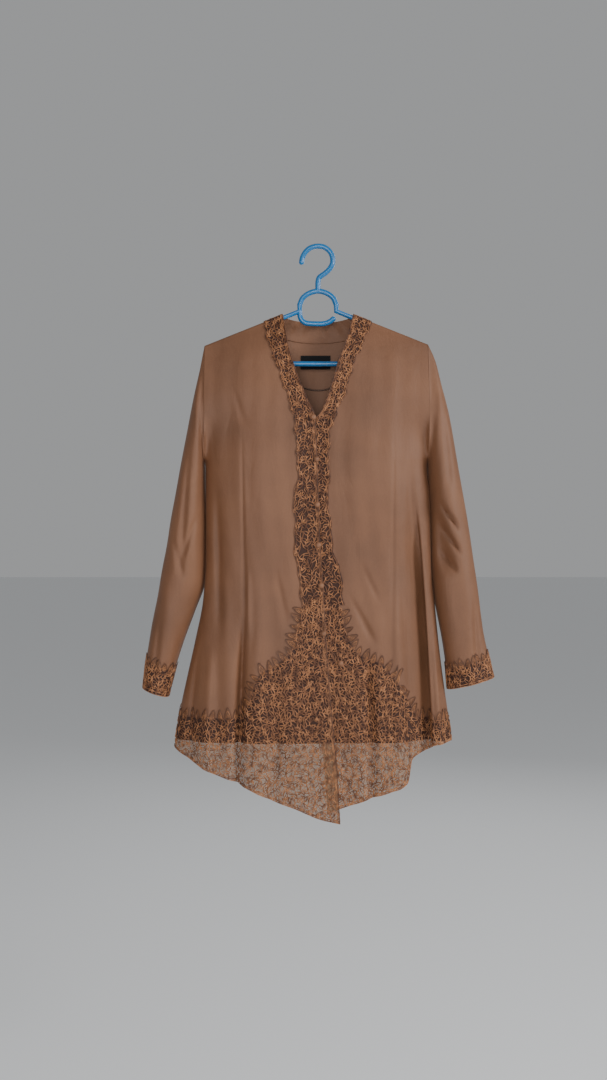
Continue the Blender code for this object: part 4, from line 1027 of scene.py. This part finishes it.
# Where the sewn-down side of each band runs, by height.
BAND = {
    RIGHT: (("z", "x"), (-124, -98), (-173, -86), (-227, -68), (-286, -49), (-320, -42),
            (-403, -37), (-457, -43), (-553, -40), (-600, -33), (-637, -28)),
    LEFT: (("z", "x"), (-128, 94), (-147, 88), (-184, 73), (-217, 60), (-256, 50),
           (-297, 33), (-344, 20), (-452, 19), (-540, 28), (-596, 42), (-640, 46)),
}
band_low = float(level_at(HEM_TOP - 1.5, HEM_Z - 1))
levels = np.concatenate((finer(LEVELS[:4], 3), np.linspace(0.04, band_low, 150)))
shares = np.linspace(0, 0.5, 60)
for side in (RIGHT, LEFT):
    name = "band_lace_" + side
    reach = []
    for level in levels:
        row = front_face(side, np.full(60, level), shares)
        wavy = 1.6 * math.sin(level * 37) + 1.2 * math.sin(level * 83 + 1)
        edge_x = float(along(BAND[side], "x", row[6, 2])) + wavy
        reach.append(np.interp(abs(edge_x - row[0, 0]), abs(row[:, 0] - row[0, 0]), shares))
    share = 0.003 + (np.array(reach)[:, None] - 0.003) * np.linspace(0, 1, 24)[None]
    points, normals = hung_front(side, levels[:, None], share)
    cords = lace_field(name, points, normals, 21 if side == RIGHT else 22, pitch=11.5)
    # On both long edges of each band the dark line nearest the edge is painted shadow; the lighter
    # lines are cord.
    cords += edge_cords(name, points, normals, (((0.4,), 0.8, 0.9, SHADOW_CORD, False),
                                                ((2.2, 4.6), 0.9, 0.6, CORD, False),
                                                ((0.4,), 0.4, 0.9, SHADOW_CORD, True),
                                                ((2.6,), 0.8, 0.7, CORD, True)))
    net = cloth_sheet(name + "_net", points + normals * LACE_BASE, FORWARD, 0, NET_AND_SHADE)
    finish_lace(name, cords, net, "lace_band_" + side)


# The same lace covers the outside of the stand collar, and runs round the back's hem in
# a strip whose leafy upper edge is sewn flat to the sateen.
points = COLLAR[3:24]
normals = grid_normals(points, UP_AND_BACK)
cords = lace_field("collar_lace", points, normals, 31)
net = cloth_sheet("collar_lace_net", points + normals * LACE_BASE, UP_AND_BACK, 0, NET_AND_SHADE)
finish_lace("collar_lace", cords, net, "lace_collar")

# The strip on the back: its columns are evenly spaced round the hem, and its net starts
# some rows below the tips of the leaves.
NET_ROW = 10
LEAF_TIPS = -813.5
lace_end = HEM_Z - BACK_LACE_DROP
places = np.linspace(0, 3, 400)
run = run_along(back_face(np.full(400, float(level_at(-850.0, lace_end))), places))
places = np.interp(np.linspace(0, run[-1], 240), run, places)
tall = np.linspace(LEAF_TIPS, lace_end + 0.5, 37)[:, None]
points, normals = hung_back(level_at(tall, lace_end), places[None])
cords = lace_field("hem_lace_back", points, normals, 32,
                   lambda spots: spots[:, 0] > NET_ROW + 1.4)
where = spaced(points[NET_ROW], 15.0)
spots = np.stack([np.full(len(where), float(NET_ROW)), where], -1)
cords += petals("hem_lace_back", points, normals, spots, np.full(len(where), math.pi), 19.0)
laid = points[NET_ROW:] + normals[NET_ROW:] * LACE_BASE
net = cloth_sheet("hem_lace_back_net", laid, -FORWARD, 0, NET_AND_SHADE)
finish_lace("hem_lace_back", cords, net, "lace_hem_back")


# Each cuff ends in a strip of the lace, sewn round the sateen with its leaves pointing
# up the sleeve and two cords along its rim.
turns = np.linspace(0, 2 * math.pi, 121)
for side in (RIGHT, LEFT):
    name = "cuff_lace_" + side
    points, normals = hung_sleeve(side, np.linspace(8.6, 10.0, 34)[:, None], turns[None])
    strip, strip_normals = points[NET_ROW:], normals[NET_ROW:]
    cords = lace_field(name, strip, strip_normals, 41 if side == RIGHT else 42, pitch=11.5)
    where = spaced(points[NET_ROW], 11.0)
    spots = np.stack([np.full(len(where), NET_ROW + 0.5), where], -1)
    cords += petals(name, points, normals, spots, np.full(len(where), math.pi), 19.0)
    at = np.linspace(0, 120, 240)
    rims = [on_grid(strip, strip_normals, np.full(240, row), at, np.full(240, LACE_BASE + 0.5))
            for row in (23.0, 20.8)]
    cords.append(cord_piece(name + "_rim", rims, 0.8, CORD, closed=False))
    net = cloth_sheet(name + "_net", strip + strip_normals * LACE_BASE,
                      strip - strip.mean(axis=1, keepdims=True), 0, NET_AND_SHADE)
    finish_lace(name, cords, net, "lace_cuff_" + side)


# The back-neck facing is sateen, hung inside from the neck seam, its rounded lower edge
# closed with dark overlock. A plain black woven label is stitched to it.
place = np.linspace(1.1, 1.9, 70)
start = back_top(place)
low_z = -252 + 46 * (start[:, 0] / 78) ** 2
end = (start[:, 2] - low_z) / (start[:, 2] - UNDERARM_Z)
level = 0.02 + (end - 0.02)[None] * np.linspace(0, 1, 40)[:, None]
points, normals = hung_back(level, place[None])
points = points - 0.55 * normals
facing = cloth_sheet("neck_facing", points, np.array([0, -1, -0.2]), 0.6, BROWN)
at = np.linspace(0, 69, 560)
zigzag = [on_grid(points, normals, 39 - 1.4 * (np.arange(560) % 2), at, np.full(560, -0.9)),
          on_grid(points, normals, np.full(560, 39.0), at, np.full(560, -0.9))]
overlock_look = cord_look("overlock_thread", (0.012, 0.006, 0.004), (0.03, 0.016, 0.011))
overlock = cord_piece("facing_overlock", zigzag, 0.5, overlock_look, closed=False)
seam_line = COLLAR[0, 14:-14] + np.array([0, -0.9, 0])
neck_welt = cord_piece("neck_seam_welt", [seam_line], 0.8, BROWN, closed=False)
for piece in (facing, overlock, neck_welt):
    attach(piece, "root")
    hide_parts("facing_back_neck")

LABEL_RISE = 4.5
low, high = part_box("label")
across = np.linspace(low.x, high.x, 28) / MM
up = np.linspace(low.z, high.z, 14) / MM + LABEL_RISE
points = np.stack(np.broadcast_arrays(across[None], high.y / MM - 0.1
                                      + 0.12 * np.sin(across / 6)[None], up[:, None]), -1)
black, tree, shader, place = new_look("black_satin")
shader.inputs["Base Color"].default_value = (0.0035, 0.0035, 0.0045, 1)
shader.inputs["Roughness"].default_value = 0.75
shader.inputs["Specular IOR Level"].default_value = 0.25
ribs = node(tree, "ShaderNodeTexWave", (("bands_direction", "Z"),), inputs=(("Scale", 900.0),),
            Vector=place)
bump = node(tree, "ShaderNodeBump", inputs=(("Strength", 0.3), ("Distance", 0.0001)),
            Height=ribs.outputs["Fac"])
tree.links.new(bump.outputs["Normal"], shader.inputs["Normal"])
label = cloth_sheet("black_label", points, FORWARD, 0.5, black)
dashes = []
front = high.y / MM - 0.75
for start_x in np.arange(low.x / MM + 1.5, high.x / MM - 3, 4.0):
    for z in (low.z / MM + 1.4 + LABEL_RISE, high.z / MM - 1.4 + LABEL_RISE):
        dashes.append([(start_x, front, z), (start_x + 2.4, front, z)])
for start_z in np.arange(low.z / MM + 2.4, high.z / MM - 3, 4.0) + LABEL_RISE:
    for x in (low.x / MM + 1.4, high.x / MM - 1.4):
        dashes.append([(x, front, start_z), (x, front, start_z + 2.4)])
stitches = cord_piece("label_stitches", dashes, 0.22, overlock_look, closed=False)
for piece in (label, stitches):
    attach(piece, "root")
    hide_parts("label")


# Seven domed buttons are covered in the sateen over a metal shell, with a rolled rim,
# and sit on the lace by a hidden shank.
DOME_HALF = (0.0049, 0.0033, 0.0049)
RIM_ROUND = 0.0045
RIM_CORD = 0.0006
SHANK = 0.0009
covered = sateen("covered_button", (0.16, 0.068, 0.031), (0.22, 0.096, 0.045),
                 (0.28, 0.130, 0.064), 0.05)
bpy.ops.object.select_all(action="DESELECT")
bpy.ops.mesh.primitive_uv_sphere_add(segments=36, ring_count=18, radius=1)
dome = bpy.context.object
dome.scale = DOME_HALF
bpy.ops.object.transform_apply(location=True, rotation=True, scale=True)
bpy.ops.object.shade_smooth()
bpy.ops.mesh.primitive_torus_add(major_radius=RIM_ROUND, minor_radius=RIM_CORD,
                                 major_segments=36, minor_segments=10,
                                 location=(0, 0, 0), rotation=(math.pi / 2, 0, 0))
rim = bpy.context.object
bpy.ops.object.transform_apply(location=True, rotation=True, scale=True)
bpy.ops.object.shade_smooth()
for part in (dome, rim):
    part.data.materials.clear()
    part.data.materials.append(covered)
button = joined("covered_button", [dome, rim])
for number in range(1, 8):
    low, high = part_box("button_" + str(number))
    piece = button.copy()
    piece.data = button.data.copy()
    piece.name = "covered_button_" + str(number)
    bpy.context.scene.collection.objects.link(piece)
    bpy.ops.object.select_all(action="DESELECT")
    piece.select_set(True)
    bpy.context.view_layer.objects.active = piece
    piece.location = ((low.x + high.x) / 2, high.y - SHANK, (low.z + high.z) / 2)
    bpy.ops.object.transform_apply(location=True, rotation=True, scale=True)
    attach(piece, "root")
    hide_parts("button_" + str(number))
bpy.data.objects.remove(button)


# The hanger is one moulded rod of glossy blue plastic: hook, open ring for a second
# hanger, two sloping arms, turned ends and a bar across below.
TUBE = 4.75
END_X = 170.8
END_Z = -188.0
END_ROUND = 19.0
LOOP = ((33, -101), (27, -88), (15, -79.5), (0, -76), (-15, -79.5), (-27, -88), (-33, -101))
HOOK = ((0, -78), (0, -60), (3, -51), (12, -44.5), (20, -37), (25.5, -28), (26.5, -18),
        (23, -7), (15, 1), (6, 4.4), (-5, 4.4), (-15, 1), (-23, -6.5), (-28, -16),
        (-29.5, -24))
LOWER_BAR = ((-33, -112), (-32, -122), (-27.5, -130), (-19, -134), (0, -135), (11, -134.4),
             (21, -131), (27.5, -126))


def rounded(points):
    """A smooth run through the corners of a line, passing through each of them."""
    points = np.array(points, float)
    padded = np.concatenate((2 * points[:1] - points[1:2], points,
                             2 * points[-1:] - points[-2:-1]))
    share = np.linspace(0, 1, 8, endpoint=False)[:, None]
    run = []
    for a, b, c, d in zip(padded, padded[1:], padded[2:], padded[3:]):
        run.append(0.5 * (2 * b + (c - a) * share + (2 * a - 5 * b + 4 * c - d) * share ** 2
                          + (3 * b - a - 3 * c + d) * share ** 3))
    return np.concatenate(run + [points[-1:]])


def end_turn(sign):
    """The turned end of one arm, from the arm's slope round to the lower bar."""
    turns = np.radians(np.linspace(68, -90, 22))
    return [(sign * (END_X + END_ROUND * math.cos(a)), END_Z + END_ROUND * math.sin(a))
            for a in turns]


plastic, tree, shader, place = new_look("blue_plastic")
patch = node(tree, "ShaderNodeTexNoise", inputs=(("Scale", 26.0), ("Detail", 3.0)), Vector=place)
blue = ramp(tree, patch.outputs["Fac"], ((0.3, (0.006, 0.120, 0.31)), (0.7, (0.009, 0.150, 0.37))))
tree.links.new(blue, shader.inputs["Base Color"])
shader.inputs["Roughness"].default_value = 0.27
shader.inputs["Coat Weight"].default_value = 0.2
shader.inputs["Coat Roughness"].default_value = 0.15

rods = []
arms = [(-33, -112.4)] + end_turn(-1) + end_turn(1)[::-1] + [(33, -112.4)]
for name, line, closed in (("frame", np.concatenate((arms, rounded(LOOP))), True),
                           ("hook", rounded(HOOK), False),
                           ("lower_bar", rounded(LOWER_BAR), False)):
    path = [(x, 0, z) for x, z in line]
    rods.append(cord_piece("hanger_" + name, [path], TUBE, plastic, closed, roundness=6))
    bpy.ops.object.shade_smooth_by_angle(angle=math.radians(50))
for x, z in (HOOK[-1], LOWER_BAR[-1]):
    bpy.ops.mesh.primitive_uv_sphere_add(segments=28, ring_count=14, radius=TUBE * MM,
                                         location=(x * MM, 0, z * MM))
    bpy.ops.object.transform_apply(location=True, rotation=True, scale=True)
    bpy.ops.object.shade_smooth()
    bpy.context.object.data.materials.append(plastic)
    rods.append(bpy.context.object)
piece = joined("plastic_hanger", rods)
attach(piece, "root")
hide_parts("hanger")
